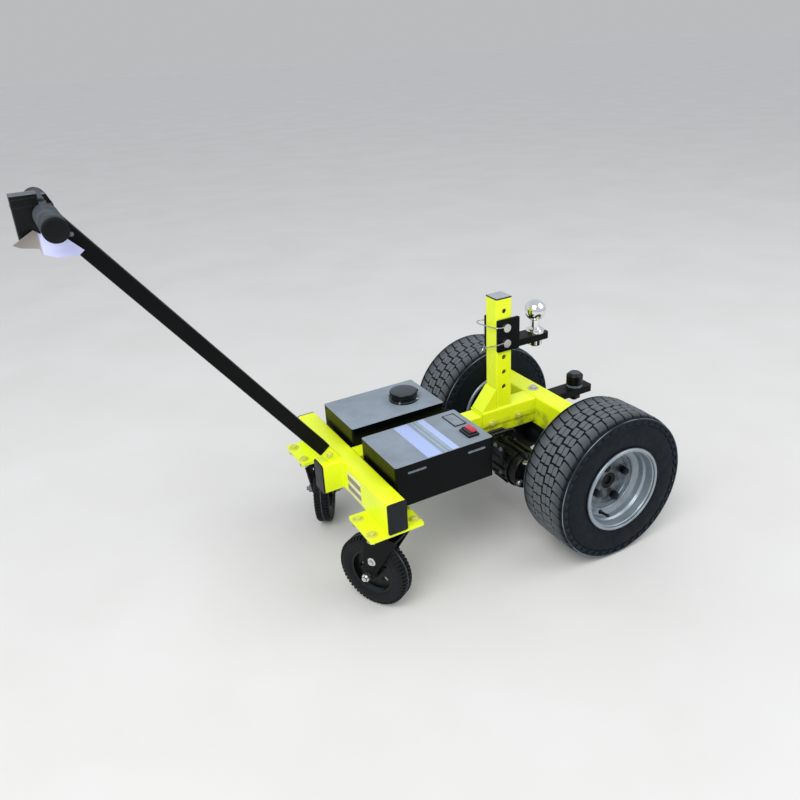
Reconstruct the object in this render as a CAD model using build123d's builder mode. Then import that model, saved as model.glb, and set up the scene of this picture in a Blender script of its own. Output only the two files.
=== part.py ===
from build123d import *
import os
from math import cos, radians, sin, tan

# An electric trailer mover: a yellow tube frame on two driven turf wheels and two
# swivel casters, with battery boxes, a tow-ball post and a tiller.
# Millimetres. +X points to the casters and the tiller, +Y to the left, +Z up.
# Distances named "ahead" are measured forward from the drive axle.

os.makedirs("parts", exist_ok=True)

# Yellow frame tubes
tube_width = 50.0
tube_height = 80.0
tube_wall = 3.0
tube_corner = 5.0
frame_top = 335.0
front_cross_ahead = 604.0
front_cross_length = 526.0
spine_height = 70.0
spine_nose_ahead = 680.0
rear_cross_ahead = -4.0
rear_cross_width = 60.0
rear_cross_length = 376.0
rear_cross_top = 342.0
sleeve_wall = 4.0             # side plates of the sleeve over the spine
sleeve_skirt = 38.0           # how far they reach down the spine's flanks
sleeve_front_ahead = 207.0
cap_thickness = 4.0
cap_plug = 14.0
fit_gap = 0.3                 # between a plastic plug and the tube round it

# Drive wheels
tyre_radius = 203.0
tyre_width = 160.0
tyre_side_gap = 6.0           # from the rear tube's end cap to the tyre
tyre_curve = (                # across and up, as parts of its half width and its height
    (1.0, 0.52),              # widest point of the sidewall
    (0.93, 0.84),             # top of the sidewall
    (0.85, 0.93),             # middle of the shoulder
    (0.7, 0.965),             # edge of the tread
    (0.36, 0.99))             # on the crown
bead_radius = 108.5
rim_half_width = 84.0
rim_lip_radius = 117.0
rim_flange_inset = 8.0        # lip's face to the flange the tyre leans on
rim_hump_radius = 99.0
rim_well_radius = 80.0
rim_seat_part = 0.67          # where each fold lies, as parts of the half width
rim_hump_part = 0.6
rim_slope_part = 0.43
rim_well_part = 0.36
rim_wall = 3.5
rim_fold_radius = 2.1
seat_gap = 0.3
dish_depth = 58.0             # centre disc in from the outer lip
disc_thickness = 5.0
disc_ridge_radius = 67.0
disc_ridge_width = 3.5
disc_ridge_height = 3.0
hub_bore_radius = 23.0
hub_bore_gap = 0.3
hub_pilot = 3.0
hub_flange = 8.0
hub_recess_radius = 13.0
stud_circle = 101.6
stud_count = 4
stud_first_angle = 70.0
stud_radius = 6.0
stud_hole_gap = 0.5
nut_across = 19.0
nut_height = 14.0
stud_end = 2.0                # stud beyond its nut

# Post and what is pinned to it
post_ahead = 134.0
post_side = 50.0
post_wall = 4.0
post_top = 655.0
post_corner = 5.0
post_cap_height = 10.0
post_cap_lip = 0.5
pin_radius = 6.35
pin_hole_radius = 6.75
pin_pitch = 43.5
pin_top_height = 622.0
pin_hole_count = 6
pinned_holes = (1, 2)         # counted from the top, the top one being 0
pin_head_radius = 11.35
pin_head_length = 9.0
pin_tail = 15.5
pin_head_gap = 0.3
saddle_plate = 6.0
saddle_overhang = 21.0
saddle_above_pin = 22.0
saddle_below_pin = 24.5
saddle_corner = 4.0
gusset_rise = 60.0

# Arm and tow ball
arm_width = 50.0
arm_thickness = 19.0
arm_corner = 8.0
arm_rear_ahead = -18.0
ball_ahead = 12.0
ball_radius = 29.35
ball_height = 62.5            # centre above the arm
ball_neck_radius = 13.0
ball_flange_radius = 26.0
ball_flange_height = 6.0
ball_collar_radius = 20.0
ball_collar_height = 5.0
shank_radius = 9.5
shank_gap = 0.05
shank_end = 6.0
shank_nut_across = 32.0
shank_nut_height = 16.5

# Rear tow arm with its capped ball
rear_arm_end_ahead = -185.0
rear_arm_top = 323.0
rear_arm_thickness = 20.0
rear_ball_ahead = -138.0
rear_cap_radius = 24.0
rear_cap_height = 43.0
rear_cap_chamfer = 8.0
rear_collar_radius = 20.0
rear_collar_height = 8.0

# Battery boxes
box_front_ahead = 572.0
box_length = 275.0
box_width = 180.0
box_gap = 0.5                 # each box to the spine's flank
box_bottom = 272.0
box_top = 382.0
box_wall = 2.0
box_corner = 6.0
box_inner_corner = 4.0
battery_length = 250.0
battery_width = 150.0
battery_height = 98.0

# What sits on the boxes
gauge_ahead = 326.0
gauge_across = 72.0
gauge_length = 65.0
gauge_width = 36.0
gauge_height = 4.0
gauge_corner = 4.0
switch_ahead = 328.0
switch_across = 150.0
switch_length = 60.0
switch_width = 32.0
switch_height = 5.0
switch_corner = 3.0
rocker_length = 36.0
rocker_width = 24.0
rocker_height = 6.0
rocker_shift = 8.0
inlet_ahead = 376.0
inlet_across = -107.0
inlet_flange_radius = 40.0
inlet_flange_height = 4.0
inlet_radius = 34.0
inlet_height = 14.0
inlet_lid_radius = 38.0
inlet_lid_height = 14.0
inlet_lid_round = 5.0
inlet_bore_radius = 26.0
inlet_bore_depth = 12.0
lid_gap = 0.3

# Casters
caster_inset = 59.0           # swivel axis in from the front tube's end
caster_plate_length = 140.0
caster_plate_width = 120.0
caster_plate_thickness = 8.0
caster_plate_corner = 4.0
top_plate_inset = 10.0
top_plate_thickness = 6.0
caster_trail = 42.0
caster_radius = 97.0
caster_width = 42.0
caster_shoulder = 7.0
caster_rim_radius = 62.0
caster_rim_half = 17.0
caster_rim_wall = 7.0
caster_web_half = 5.0
caster_hub_radius = 19.0
caster_hub_half = 24.0
caster_slot_count = 5
caster_slot_radius = 9.0
caster_headings = {"left": -61.0, "right": -120.0}
race_radius = 38.0
race_height = 16.0
race_gap = 0.3
fork_wall = 5.0
fork_gap = 58.0
fork_crown = 8.0
fork_crown_radius = 44.0
fork_foot_radius = 15.0
caster_axle_radius = 6.0
caster_axle_clearance = 0.06
caster_axle_end = 18.0        # axle beyond each fork leg
caster_nut_across = 19.0
caster_nut_height = 11.0

# Tiller
tiller_foot_ahead = 639.0
tiller_angle = 53.3
tiller_side = 34.0
tiller_corner = 4.0
tiller_wall = 2.5
tiller_start = 46.0
tiller_end_short = 1.0        # its end stops short of the handle's height, inside the head
stub_gap = 0.25
stub_overlap = 60.0

# Handle and control head
handle_height = 1032.0
handle_half_width = 178.0
handle_tube_radius = 11.0
handle_clearance = 0.1
grip_radius = 22.5
grip_end_thickness = 5.0
grip_end_round = 2.5
grip_gap = 5.0
head_before_handle = 53.0     # front of the head, ahead of the handle
head_length = 71.0
head_width = 44.0
head_corner = 4.0
head_below_handle = 44.0
head_lid_over_handle = 18.0   # foot of the lid above the handle
head_over_handle = 39.0
head_lid_length = 47.0
lever_behind_handle = 17.0
lever_length = 8.0
lever_lean = 7.0
lever_width = 22.0
lever_over_handle = 35.0
guard_thickness = 2.0
guard_under_handle = 29.0     # its upper edge below the handle
guard_gap = 0.3
guard_slope = 0.5             # outward for each millimetre down
guard_tab_behind_handle = 9.0
guard_tab_length = 24.0
guard_tab_height = 19.0
guard_tab_under_handle = 16.0
guard_before_handle = 67.0
guard_fold = ((16.0, -33.0), (24.0, -56.0))     # ahead of and above the handle: top, foot
guard_lower = ((15.0, -30.0), (-9.0, -30.0), (-27.0, -48.0), (-50.0, -70.0),
               (-38.0, -78.0), (-1.0, -75.0), (22.0, -66.0))
guard_front = ((55.0, -47.0), (guard_before_handle, -39.0), (27.0, -23.0))
guard_rise = -0.3             # the front wing's way outward for each millimetre up
bracket_width = 40.0
bracket_thickness = 3.0
bracket_grip = 40.0
bracket_before_handle = 36.0

# Transaxle
axle_tube_radius = 30.0
axle_tube_short = 26.0        # from the wheel's middle back to the tube's end
saddle_width = 28.0
saddle_from_end = 10.0        # in from the rear cross tube's end
saddle_block = 76.0
gear_radius = 50.0
gear_near = -20.0
gear_far = -90.0
gear_block = 60.0
motor_ahead = 133.0
motor_height = 189.0
motor_radius = 54.0
motor_flange = 6.0            # gear case beyond the motor all round
motor_near = 138.0
bell_length = 26.0
bell_radius = 50.0
bell_round = 6.0
terminal_length = 42.0
terminal_depth = 20.0
terminal_low = 205.0
terminal_top = 228.0
cable_radius = 5.0
cable_bend = 14.0
cable_rise = 285.0
cable_run_height = 248.0
cable_places = ((143.0, 40.0), (123.0, 56.0))    # ahead, across
shaft_radius = 14.0
shaft_grip = 60.0
shaft_clearance = 0.06
shaft_end_room = 6.0

# The tiller's lean and the handle's height place the handle and the head round it
tiller_rise = handle_height - frame_top
tiller_length = round(tiller_rise / sin(radians(tiller_angle))) - tiller_end_short
handle_ahead = round(tiller_foot_ahead + tiller_rise / tan(radians(tiller_angle)))
head_bottom = handle_height - head_below_handle
head_lid_bottom = handle_height + head_lid_over_handle
head_top = handle_height + head_over_handle

# The origin lies on the floor in the middle of the outer box
axle_x = (tyre_radius - handle_ahead - guard_before_handle) / 2
axle_z = tyre_radius
frame_bottom = frame_top - tube_height
front_cross_x = axle_x + front_cross_ahead
rear_cross_x = axle_x + rear_cross_ahead
spine_rear_x = rear_cross_x + rear_cross_width / 2
spine_nose_x = axle_x + spine_nose_ahead
sleeve_front_x = axle_x + sleeve_front_ahead
caster_across = front_cross_length / 2 - caster_inset
plate_bottom = frame_bottom - caster_plate_thickness
post_x = axle_x + post_ahead
wheel_offset = rear_cross_length / 2 + cap_thickness + tyre_side_gap + tyre_width / 2
axle_tube_end = wheel_offset - axle_tube_short
saddle_outer = rear_cross_length / 2 - saddle_from_end
saddle_inner = saddle_outer - saddle_width


def save(part, name):
    part.label = name
    export_step(part, f"parts/{name}.step")


# Fore-and-aft tube, behind and ahead of the front cross tube
for name, start, end, height in (
        ("spine_tube", spine_rear_x, front_cross_x - tube_width / 2, spine_height),
        ("spine_nose", front_cross_x + tube_width / 2, spine_nose_x, tube_height)):
    with BuildPart() as spine:
        with BuildSketch(Plane.YZ.offset(start)):
            with Locations((0, frame_top - height / 2)):
                RectangleRounded(tube_width, height, tube_corner)
                RectangleRounded(tube_width - 2 * tube_wall, height - 2 * tube_wall,
                                 tube_corner - tube_wall, mode=Mode.SUBTRACT)
        extrude(amount=end - start)
    save(spine.part, name)

# Cross tubes with their end caps
for name, x, width, top, length in (
        ("front_cross_tube", front_cross_x, tube_width, frame_top, front_cross_length),
        ("rear_cross_tube", rear_cross_x, rear_cross_width, rear_cross_top, rear_cross_length)):
    height = top - frame_bottom
    with BuildPart() as cross_tube:
        with BuildSketch(Plane.XZ.offset(-length / 2)):
            with Locations((x, frame_bottom + height / 2)):
                RectangleRounded(width, height, tube_corner)
                RectangleRounded(width - 2 * tube_wall, height - 2 * tube_wall,
                                 tube_corner - tube_wall, mode=Mode.SUBTRACT)
        extrude(amount=length)
    save(cross_tube.part, name)
    for side, sign in (("left", 1), ("right", -1)):
        with BuildPart() as tube_cap:
            with BuildSketch(Plane.XZ.offset(-sign * length / 2)):
                with Locations((x, frame_bottom + height / 2)):
                    RectangleRounded(width, height, tube_corner)
            extrude(amount=-sign * cap_thickness)
            with BuildSketch(Plane.XZ.offset(-sign * length / 2)):
                with Locations((x, frame_bottom + height / 2)):
                    RectangleRounded(width - 2 * (tube_wall + fit_gap),
                                     height - 2 * (tube_wall + fit_gap), tube_corner - tube_wall)
            extrude(amount=sign * cap_plug)
        save(tube_cap.part, name.replace("tube", "cap") + f"_{side}")

with BuildPart() as spine_cap:
    with BuildSketch(Plane.YZ.offset(spine_nose_x)):
        with Locations((0, frame_top - tube_height / 2)):
            RectangleRounded(tube_width, tube_height, tube_corner)
    extrude(amount=cap_thickness)
    with BuildSketch(Plane.YZ.offset(spine_nose_x)):
        with Locations((0, frame_top - tube_height / 2)):
            RectangleRounded(tube_width - 2 * (tube_wall + fit_gap),
                             tube_height - 2 * (tube_wall + fit_gap), tube_corner - tube_wall)
    extrude(amount=-cap_plug)
save(spine_cap.part, "spine_nose_cap")

# Sleeve: a channel turned over the rear of the spine
sleeve_bottom = frame_top - sleeve_skirt
with BuildPart() as spine_sleeve:
    with BuildSketch(Plane.YZ.offset(spine_rear_x)):
        with Locations((0, (rear_cross_top + sleeve_bottom) / 2)):
            Rectangle(tube_width + 2 * sleeve_wall, rear_cross_top - sleeve_bottom)
        with Locations((0, (frame_top + sleeve_bottom) / 2)):
            Rectangle(tube_width, sleeve_skirt, mode=Mode.SUBTRACT)
    extrude(amount=sleeve_front_x - spine_rear_x)
    fillet(spine_sleeve.faces().sort_by(Axis.Z)[-1].edges().filter_by(Axis.X), sleeve_wall)
save(spine_sleeve.part, "spine_sleeve")

# Post with its row of cross holes
with BuildPart() as post:
    with BuildSketch(Plane.XY.offset(rear_cross_top)):
        with Locations((post_x, 0)):
            RectangleRounded(post_side, post_side, post_corner)
            RectangleRounded(post_side - 2 * post_wall, post_side - 2 * post_wall,
                             post_corner - post_wall, mode=Mode.SUBTRACT)
    extrude(amount=post_top - rear_cross_top)
    with BuildSketch(Plane.XZ.offset(-post_side / 2)):
        for i in range(pin_hole_count):
            with Locations((post_x, pin_top_height - i * pin_pitch)):
                Circle(pin_hole_radius)
    extrude(amount=post_side, mode=Mode.SUBTRACT)
save(post.part, "post")

with BuildPart() as post_gusset:
    with BuildSketch(Plane.XZ.offset(-post_side / 2)):
        with BuildLine():
            Polyline((post_x + post_side / 2, rear_cross_top), (sleeve_front_x, rear_cross_top),
                     (post_x + post_side / 2, rear_cross_top + gusset_rise), close=True)
        make_face()
    extrude(amount=post_side)
save(post_gusset.part, "post_gusset")

with BuildPart() as post_cap:
    with BuildSketch(Plane.XY.offset(post_top)):
        with Locations((post_x, 0)):
            RectangleRounded(post_side + 2 * post_cap_lip, post_side + 2 * post_cap_lip,
                             post_corner + post_cap_lip)
    extrude(amount=post_cap_height)
    fillet(post_cap.faces().sort_by(Axis.Z)[-1].edges(), post_corner)
    with BuildSketch(Plane.XY.offset(post_top)):
        with Locations((post_x, 0)):
            Rectangle(post_side - 2 * (post_wall + fit_gap),
                      post_side - 2 * (post_wall + fit_gap))
    extrude(amount=-cap_plug)
save(post_cap.part, "post_cap")

# Ball mount: two plates hug the post and carry the arm with the ball
saddle_top = pin_top_height - pinned_holes[0] * pin_pitch + saddle_above_pin
saddle_bottom = pin_top_height - pinned_holes[1] * pin_pitch - saddle_below_pin
post_rear_x = post_x - post_side / 2
saddle_length = post_side + saddle_overhang
arm_rear_x = axle_x + arm_rear_ahead
with BuildPart() as ball_mount:
    for sign in (1, -1):
        with BuildSketch(Plane.XZ.offset(-sign * post_side / 2)):
            with Locations((post_x + post_side / 2 - saddle_length / 2,
                            (saddle_bottom + saddle_top) / 2)):
                RectangleRounded(saddle_length, saddle_top - saddle_bottom, saddle_corner)
        extrude(amount=-sign * saddle_plate)
    with BuildSketch(Plane.XY.offset(saddle_bottom)):
        with Locations(((post_rear_x + arm_rear_x) / 2, 0)):
            Rectangle(post_rear_x - arm_rear_x, arm_width)
    extrude(amount=arm_thickness)
    fillet(ball_mount.edges().filter_by(Axis.Z).group_by(Axis.X)[0], arm_corner)
    with BuildSketch(Plane.XZ.offset(-(post_side / 2 + saddle_plate))):
        for i in pinned_holes:
            with Locations((post_x, pin_top_height - i * pin_pitch)):
                Circle(pin_hole_radius)
    extrude(amount=post_side + 2 * saddle_plate, mode=Mode.SUBTRACT)
    with BuildSketch(Plane.XY.offset(saddle_bottom)):
        with Locations((axle_x + ball_ahead, 0)):
            Circle(shank_radius)
    extrude(amount=arm_thickness, mode=Mode.SUBTRACT)
save(ball_mount.part, "ball_mount")

# Hitch pins
pin_reach = post_side / 2 + saddle_plate
for number, i in enumerate(pinned_holes, 1):
    with BuildPart() as hitch_pin:
        with BuildSketch(Plane.XZ.offset(-(pin_reach + pin_head_gap))):
            with Locations((post_x, pin_top_height - i * pin_pitch)):
                Circle(pin_radius)
        extrude(amount=2 * pin_reach + pin_head_gap + pin_tail)
        with BuildSketch(Plane.XZ.offset(-(pin_reach + pin_head_gap))):
            with Locations((post_x, pin_top_height - i * pin_pitch)):
                Circle(pin_head_radius)
        extrude(amount=-pin_head_length)
    save(hitch_pin.part, f"hitch_pin_{number}")

# Tow ball on its neck and stepped flange, with the shank and nut below the arm
ball_x = axle_x + ball_ahead
ball_seat = saddle_bottom + arm_thickness
ball_z = ball_seat + ball_height
with BuildPart() as tow_ball:
    with BuildSketch(Plane.XZ):
        with BuildLine():
            Polyline((ball_x, ball_seat), (ball_x + ball_flange_radius, ball_seat),
                     (ball_x + ball_flange_radius, ball_seat + ball_flange_height),
                     (ball_x + ball_collar_radius, ball_seat + ball_flange_height),
                     (ball_x + ball_collar_radius,
                      ball_seat + ball_flange_height + ball_collar_height),
                     (ball_x + ball_neck_radius,
                      ball_seat + ball_flange_height + 2 * ball_collar_height),
                     (ball_x + ball_neck_radius, ball_z), (ball_x, ball_z), close=True)
        make_face()
    revolve(axis=Axis((ball_x, 0, 0), (0, 0, 1)))
    with Locations((ball_x, 0, ball_z)):
        Sphere(ball_radius)
    with BuildSketch(Plane.XY.offset(ball_seat)):
        with Locations((ball_x, 0)):
            Circle(shank_radius - shank_gap)
    extrude(amount=-(arm_thickness + shank_nut_height + shank_end))
    with BuildSketch(Plane.XY.offset(saddle_bottom)):
        with Locations((ball_x, 0)):
            RegularPolygon(shank_nut_across / 2, 6, major_radius=False)
    extrude(amount=-shank_nut_height)
save(tow_ball.part, "tow_ball")

# Rear tow arm and its ball under a cap
rear_arm_front_x = rear_cross_x - rear_cross_width / 2
rear_arm_end_x = axle_x + rear_arm_end_ahead
rear_arm_bottom = rear_arm_top - rear_arm_thickness
rear_ball_x = axle_x + rear_ball_ahead
with BuildPart() as rear_arm:
    with BuildSketch(Plane.XY.offset(rear_arm_bottom)):
        with Locations(((rear_arm_front_x + rear_arm_end_x) / 2, 0)):
            Rectangle(rear_arm_front_x - rear_arm_end_x, arm_width)
    extrude(amount=rear_arm_thickness)
    fillet(rear_arm.edges().filter_by(Axis.Z).group_by(Axis.X)[0], arm_corner)
    with BuildSketch(Plane.XY.offset(rear_arm_bottom)):
        with Locations((rear_ball_x, 0)):
            Circle(shank_radius)
    extrude(amount=rear_arm_thickness, mode=Mode.SUBTRACT)
save(rear_arm.part, "rear_tow_arm")

with BuildPart() as rear_ball:
    with BuildSketch(Plane.XZ):
        with BuildLine():
            Polyline((rear_ball_x, rear_arm_top), (rear_ball_x + rear_collar_radius, rear_arm_top),
                     (rear_ball_x + rear_collar_radius, rear_arm_top + rear_collar_height),
                     (rear_ball_x + rear_cap_radius, rear_arm_top + rear_collar_height),
                     (rear_ball_x + rear_cap_radius,
                      rear_arm_top + rear_cap_height - rear_cap_chamfer),
                     (rear_ball_x + rear_cap_radius - rear_cap_chamfer,
                      rear_arm_top + rear_cap_height),
                     (rear_ball_x, rear_arm_top + rear_cap_height), close=True)
        make_face()
    revolve(axis=Axis((rear_ball_x, 0, 0), (0, 0, 1)))
    with BuildSketch(Plane.XY.offset(rear_arm_top)):
        with Locations((rear_ball_x, 0)):
            Circle(shank_radius - shank_gap)
    extrude(amount=-(rear_arm_thickness + shank_nut_height + shank_end))
    with BuildSketch(Plane.XY.offset(rear_arm_bottom)):
        with Locations((rear_ball_x, 0)):
            RegularPolygon(shank_nut_across / 2, 6, major_radius=False)
    extrude(amount=-shank_nut_height)
save(rear_ball.part, "rear_tow_ball")

# Battery boxes, one each side of the spine, each with a battery inside
box_rear_x = axle_x + box_front_ahead - box_length
box_x = box_rear_x + box_length / 2
box_y = tube_width / 2 + box_gap + box_width / 2
box_height = box_top - box_bottom
for side, sign in (("left", 1), ("right", -1)):
    with BuildPart() as battery_box:
        with BuildSketch(Plane.XY.offset(box_bottom)):
            with Locations((box_x, sign * box_y)):
                RectangleRounded(box_length, box_width, box_corner)
        extrude(amount=box_height)
        with BuildSketch(Plane.XY.offset(box_bottom + box_wall)):
            with Locations((box_x, sign * box_y)):
                RectangleRounded(box_length - 2 * box_wall, box_width - 2 * box_wall,
                                 box_inner_corner)
        extrude(amount=box_height - 2 * box_wall, mode=Mode.SUBTRACT)
    save(battery_box.part, f"battery_box_{side}")
    with BuildPart() as battery:
        with BuildSketch(Plane.XY.offset(box_bottom + box_wall)):
            with Locations((box_x, sign * box_y)):
                Rectangle(battery_length, battery_width)
        extrude(amount=battery_height)
    save(battery.part, f"battery_{side}")

with BuildPart() as charge_gauge:
    with BuildSketch(Plane.XY.offset(box_top)):
        with Locations((axle_x + gauge_ahead, gauge_across)):
            RectangleRounded(gauge_width, gauge_length, gauge_corner)
    extrude(amount=gauge_height)
save(charge_gauge.part, "charge_gauge")

switch_x = axle_x + switch_ahead
with BuildPart() as power_switch:
    with BuildSketch(Plane.XY.offset(box_top)):
        with Locations((switch_x, switch_across)):
            RectangleRounded(switch_width, switch_length, switch_corner)
    extrude(amount=switch_height)
    with BuildSketch(Plane.XZ.offset(-(switch_across - rocker_shift + rocker_length / 2))):
        with BuildLine():
            Polyline((switch_x - rocker_width / 2, box_top + switch_height),
                     (switch_x + rocker_width / 2, box_top + switch_height),
                     (switch_x + rocker_width / 2, box_top + switch_height + rocker_height),
                     (switch_x, box_top + switch_height + rocker_height / 2),
                     (switch_x - rocker_width / 2, box_top + switch_height + rocker_height / 2),
                     close=True)
        make_face()
    extrude(amount=rocker_length)
save(power_switch.part, "power_switch")

inlet_x = axle_x + inlet_ahead
with BuildPart() as charging_inlet:
    with BuildSketch(Plane.XY.offset(box_top)):
        with Locations((inlet_x, inlet_across)):
            Circle(inlet_flange_radius)
    extrude(amount=inlet_flange_height)
    with BuildSketch(Plane.XY.offset(box_top + inlet_flange_height)):
        with Locations((inlet_x, inlet_across)):
            Circle(inlet_radius)
    extrude(amount=inlet_height - inlet_flange_height)
    with BuildSketch(Plane.XY.offset(box_top + inlet_height - inlet_bore_depth)):
        with Locations((inlet_x, inlet_across)):
            Circle(inlet_bore_radius)
    extrude(amount=inlet_bore_depth, mode=Mode.SUBTRACT)
save(charging_inlet.part, "charging_inlet")

with BuildPart() as inlet_lid:
    with BuildSketch(Plane.XY.offset(box_top + inlet_height + lid_gap)):
        with Locations((inlet_x, inlet_across)):
            Circle(inlet_lid_radius)
    extrude(amount=inlet_lid_height)
    fillet(inlet_lid.faces().sort_by(Axis.Z)[-1].edges(), inlet_lid_round)
save(inlet_lid.part, "inlet_lid")

# Tiller: a black tube over a yellow stub, leaning forward to the control head
tiller_foot_x = axle_x + tiller_foot_ahead
handle_x = axle_x + handle_ahead
head_front_x = handle_x + head_before_handle
head_rear_x = head_front_x - head_length
lean = Plane(origin=(tiller_foot_x, 0, frame_top),
             x_dir=(0, 1, 0),
             z_dir=(cos(radians(tiller_angle)), 0, sin(radians(tiller_angle))))
stub_side = tiller_side - 2 * (tiller_wall + stub_gap)
with BuildPart() as tiller_stub:
    with BuildSketch(lean.offset(-tiller_side)):
        Rectangle(stub_side, stub_side)
    extrude(amount=tiller_side + tiller_start + stub_overlap)
    with BuildSketch(Plane.XY.offset(frame_top)):
        with Locations((tiller_foot_x, 0)):
            Rectangle(4 * tiller_side, 4 * tiller_side)
    extrude(amount=-2 * tiller_side, mode=Mode.SUBTRACT)
save(tiller_stub.part, "tiller_stub")

with BuildPart() as tiller_tube:
    with BuildSketch(lean.offset(tiller_start)):
        RectangleRounded(tiller_side, tiller_side, tiller_corner)
        Rectangle(tiller_side - 2 * tiller_wall, tiller_side - 2 * tiller_wall, mode=Mode.SUBTRACT)
    extrude(amount=tiller_length - tiller_start)
    # The head end is cut upright to lie flat on the control box, and level under it
    with BuildSketch(Plane.XZ.offset(-tiller_side)):
        with Locations((head_rear_x, head_bottom)):
            Rectangle(head_length, head_top - head_bottom, align=(Align.MIN, Align.MIN))
    extrude(amount=2 * tiller_side, mode=Mode.SUBTRACT)
save(tiller_tube.part, "tiller_tube")

# Handle bar through the control box, with a grip each side
handle_axis = Plane(origin=(handle_x, 0, handle_height), x_dir=(1, 0, 0), z_dir=(0, 1, 0))
bar_half = handle_half_width - grip_end_thickness
with BuildPart() as handle_bar:
    with BuildSketch(handle_axis.offset(-bar_half)):
        Circle(handle_tube_radius)
    extrude(amount=2 * bar_half)
save(handle_bar.part, "handle_bar")

grip_start = head_width / 2 + grip_gap
for side, sign in (("left", 1), ("right", -1)):
    with BuildPart() as grip:
        with BuildSketch(handle_axis.offset(sign * grip_start)):
            Circle(grip_radius)
        extrude(amount=sign * (handle_half_width - grip_start))
        fillet(grip.edges().filter_by(GeomType.CIRCLE).sort_by(Axis.Y)[-1 if sign > 0 else 0],
               grip_end_round)
        with BuildSketch(handle_axis.offset(sign * grip_start)):
            Circle(handle_tube_radius)
        extrude(amount=sign * (bar_half - grip_start), mode=Mode.SUBTRACT)
    save(grip.part, f"grip_{side}")

with BuildPart() as control_box:
    with BuildSketch(Plane.XY.offset(head_bottom)):
        with Locations((head_front_x - head_length / 2, 0)):
            RectangleRounded(head_length, head_width, head_corner)
    extrude(amount=head_lid_bottom - head_bottom)
    with BuildSketch(handle_axis.offset(-head_width)):
        Circle(handle_tube_radius + handle_clearance)
    extrude(amount=2 * head_width, mode=Mode.SUBTRACT)
    # Throttle lever on the box's rear half
    lever_x = handle_x - lever_behind_handle
    lever_top = handle_height + lever_over_handle
    with BuildSketch(Plane.XZ.offset(-lever_width / 2)):
        with BuildLine():
            Polyline((lever_x, head_lid_bottom), (lever_x + lever_length, head_lid_bottom),
                     (lever_x + lever_length + lever_lean, lever_top),
                     (lever_x + lever_lean, lever_top), close=True)
        make_face()
    extrude(amount=lever_width)
save(control_box.part, "control_box")

with BuildPart() as control_lid:
    with BuildSketch(Plane.XY.offset(head_lid_bottom)):
        with Locations((head_front_x - head_lid_length / 2, 0)):
            RectangleRounded(head_lid_length, head_width, head_corner)
    extrude(amount=head_top - head_lid_bottom)
save(control_lid.part, "control_lid")

tiller_dir = (cos(radians(tiller_angle)), sin(radians(tiller_angle)))


def on_tiller_front(height, out):
    """The point at that height, that far out from the tiller's front face."""
    away = tiller_side / 2 + out
    along = (height - frame_top + away * tiller_dir[0]) / tiller_dir[1]
    return (tiller_foot_x + along * tiller_dir[0] + away * tiller_dir[1], height)


# A bent plate ties the box's floor to the tiller's front face
bracket_front_x = handle_x + bracket_before_handle
with BuildPart() as head_bracket:
    with BuildSketch(Plane.XZ.offset(-bracket_width / 2)):
        with BuildLine():
            Polyline(on_tiller_front(head_bottom - bracket_grip, 0), on_tiller_front(head_bottom, 0),
                     (bracket_front_x, head_bottom),
                     (bracket_front_x, head_bottom - bracket_thickness),
                     on_tiller_front(head_bottom - bracket_thickness, bracket_thickness),
                     on_tiller_front(head_bottom - bracket_grip, bracket_thickness), close=True)
        make_face()
    extrude(amount=bracket_width)
save(head_bracket.part, "head_bracket")


# Folded guard on the head's left side, below the grip: each wing is a flat sheet
def lower_wing(ahead, above):
    out = head_width / 2 + guard_gap - guard_slope * (guard_under_handle + above)
    return (handle_x + ahead, out, handle_height + above)


fold_top, fold_foot = [lower_wing(ahead, above) for ahead, above in guard_fold]
guard_sweep = ((fold_foot[1] - fold_top[1] - guard_rise * (fold_foot[2] - fold_top[2]))
               / (fold_foot[0] - fold_top[0]))


def front_wing(ahead, above):
    x = handle_x + ahead
    z = handle_height + above
    return (x, fold_top[1] + guard_sweep * (x - fold_top[0]) + guard_rise * (z - fold_top[2]), z)


lower_outline = [lower_wing(ahead, above) for ahead, above in guard_lower]
front_outline = [front_wing(ahead, above) for ahead, above in guard_front]
with BuildPart() as head_guard:
    extrude(to_extrude=Face(Wire.make_polygon([fold_top, *lower_outline, fold_foot])),
            amount=guard_thickness, dir=(0, 1, 0))
    extrude(to_extrude=Face(Wire.make_polygon([fold_top, fold_foot, *front_outline])),
            amount=guard_thickness, dir=(0, 1, 0))
    with BuildSketch(Plane.XZ.offset(-head_width / 2)):
        with Locations((handle_x - guard_tab_behind_handle, handle_height - guard_tab_under_handle)):
            Rectangle(guard_tab_length, guard_tab_height, align=(Align.MIN, Align.MAX))
    extrude(amount=-guard_thickness)
save(head_guard.part, "head_guard")

# Transaxle: a gear case under the rear tube carries the cross-laid motor and the axle tubes
motor_x = axle_x + motor_ahead
with BuildPart() as gear_housing:
    with BuildSketch(Plane.XZ.offset(-gear_near)):
        with Locations((axle_x, axle_z)):
            Circle(gear_radius)
        with Locations((motor_x, motor_height)):
            Circle(motor_radius + motor_flange)
        make_hull()
    extrude(amount=gear_near - gear_far)
    with BuildSketch(Plane.XY.offset(axle_z)):
        with Locations((rear_cross_x, (gear_near + gear_far) / 2)):
            Rectangle(gear_block, gear_block)
    extrude(amount=frame_bottom - axle_z)
save(gear_housing.part, "gear_housing")

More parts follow.
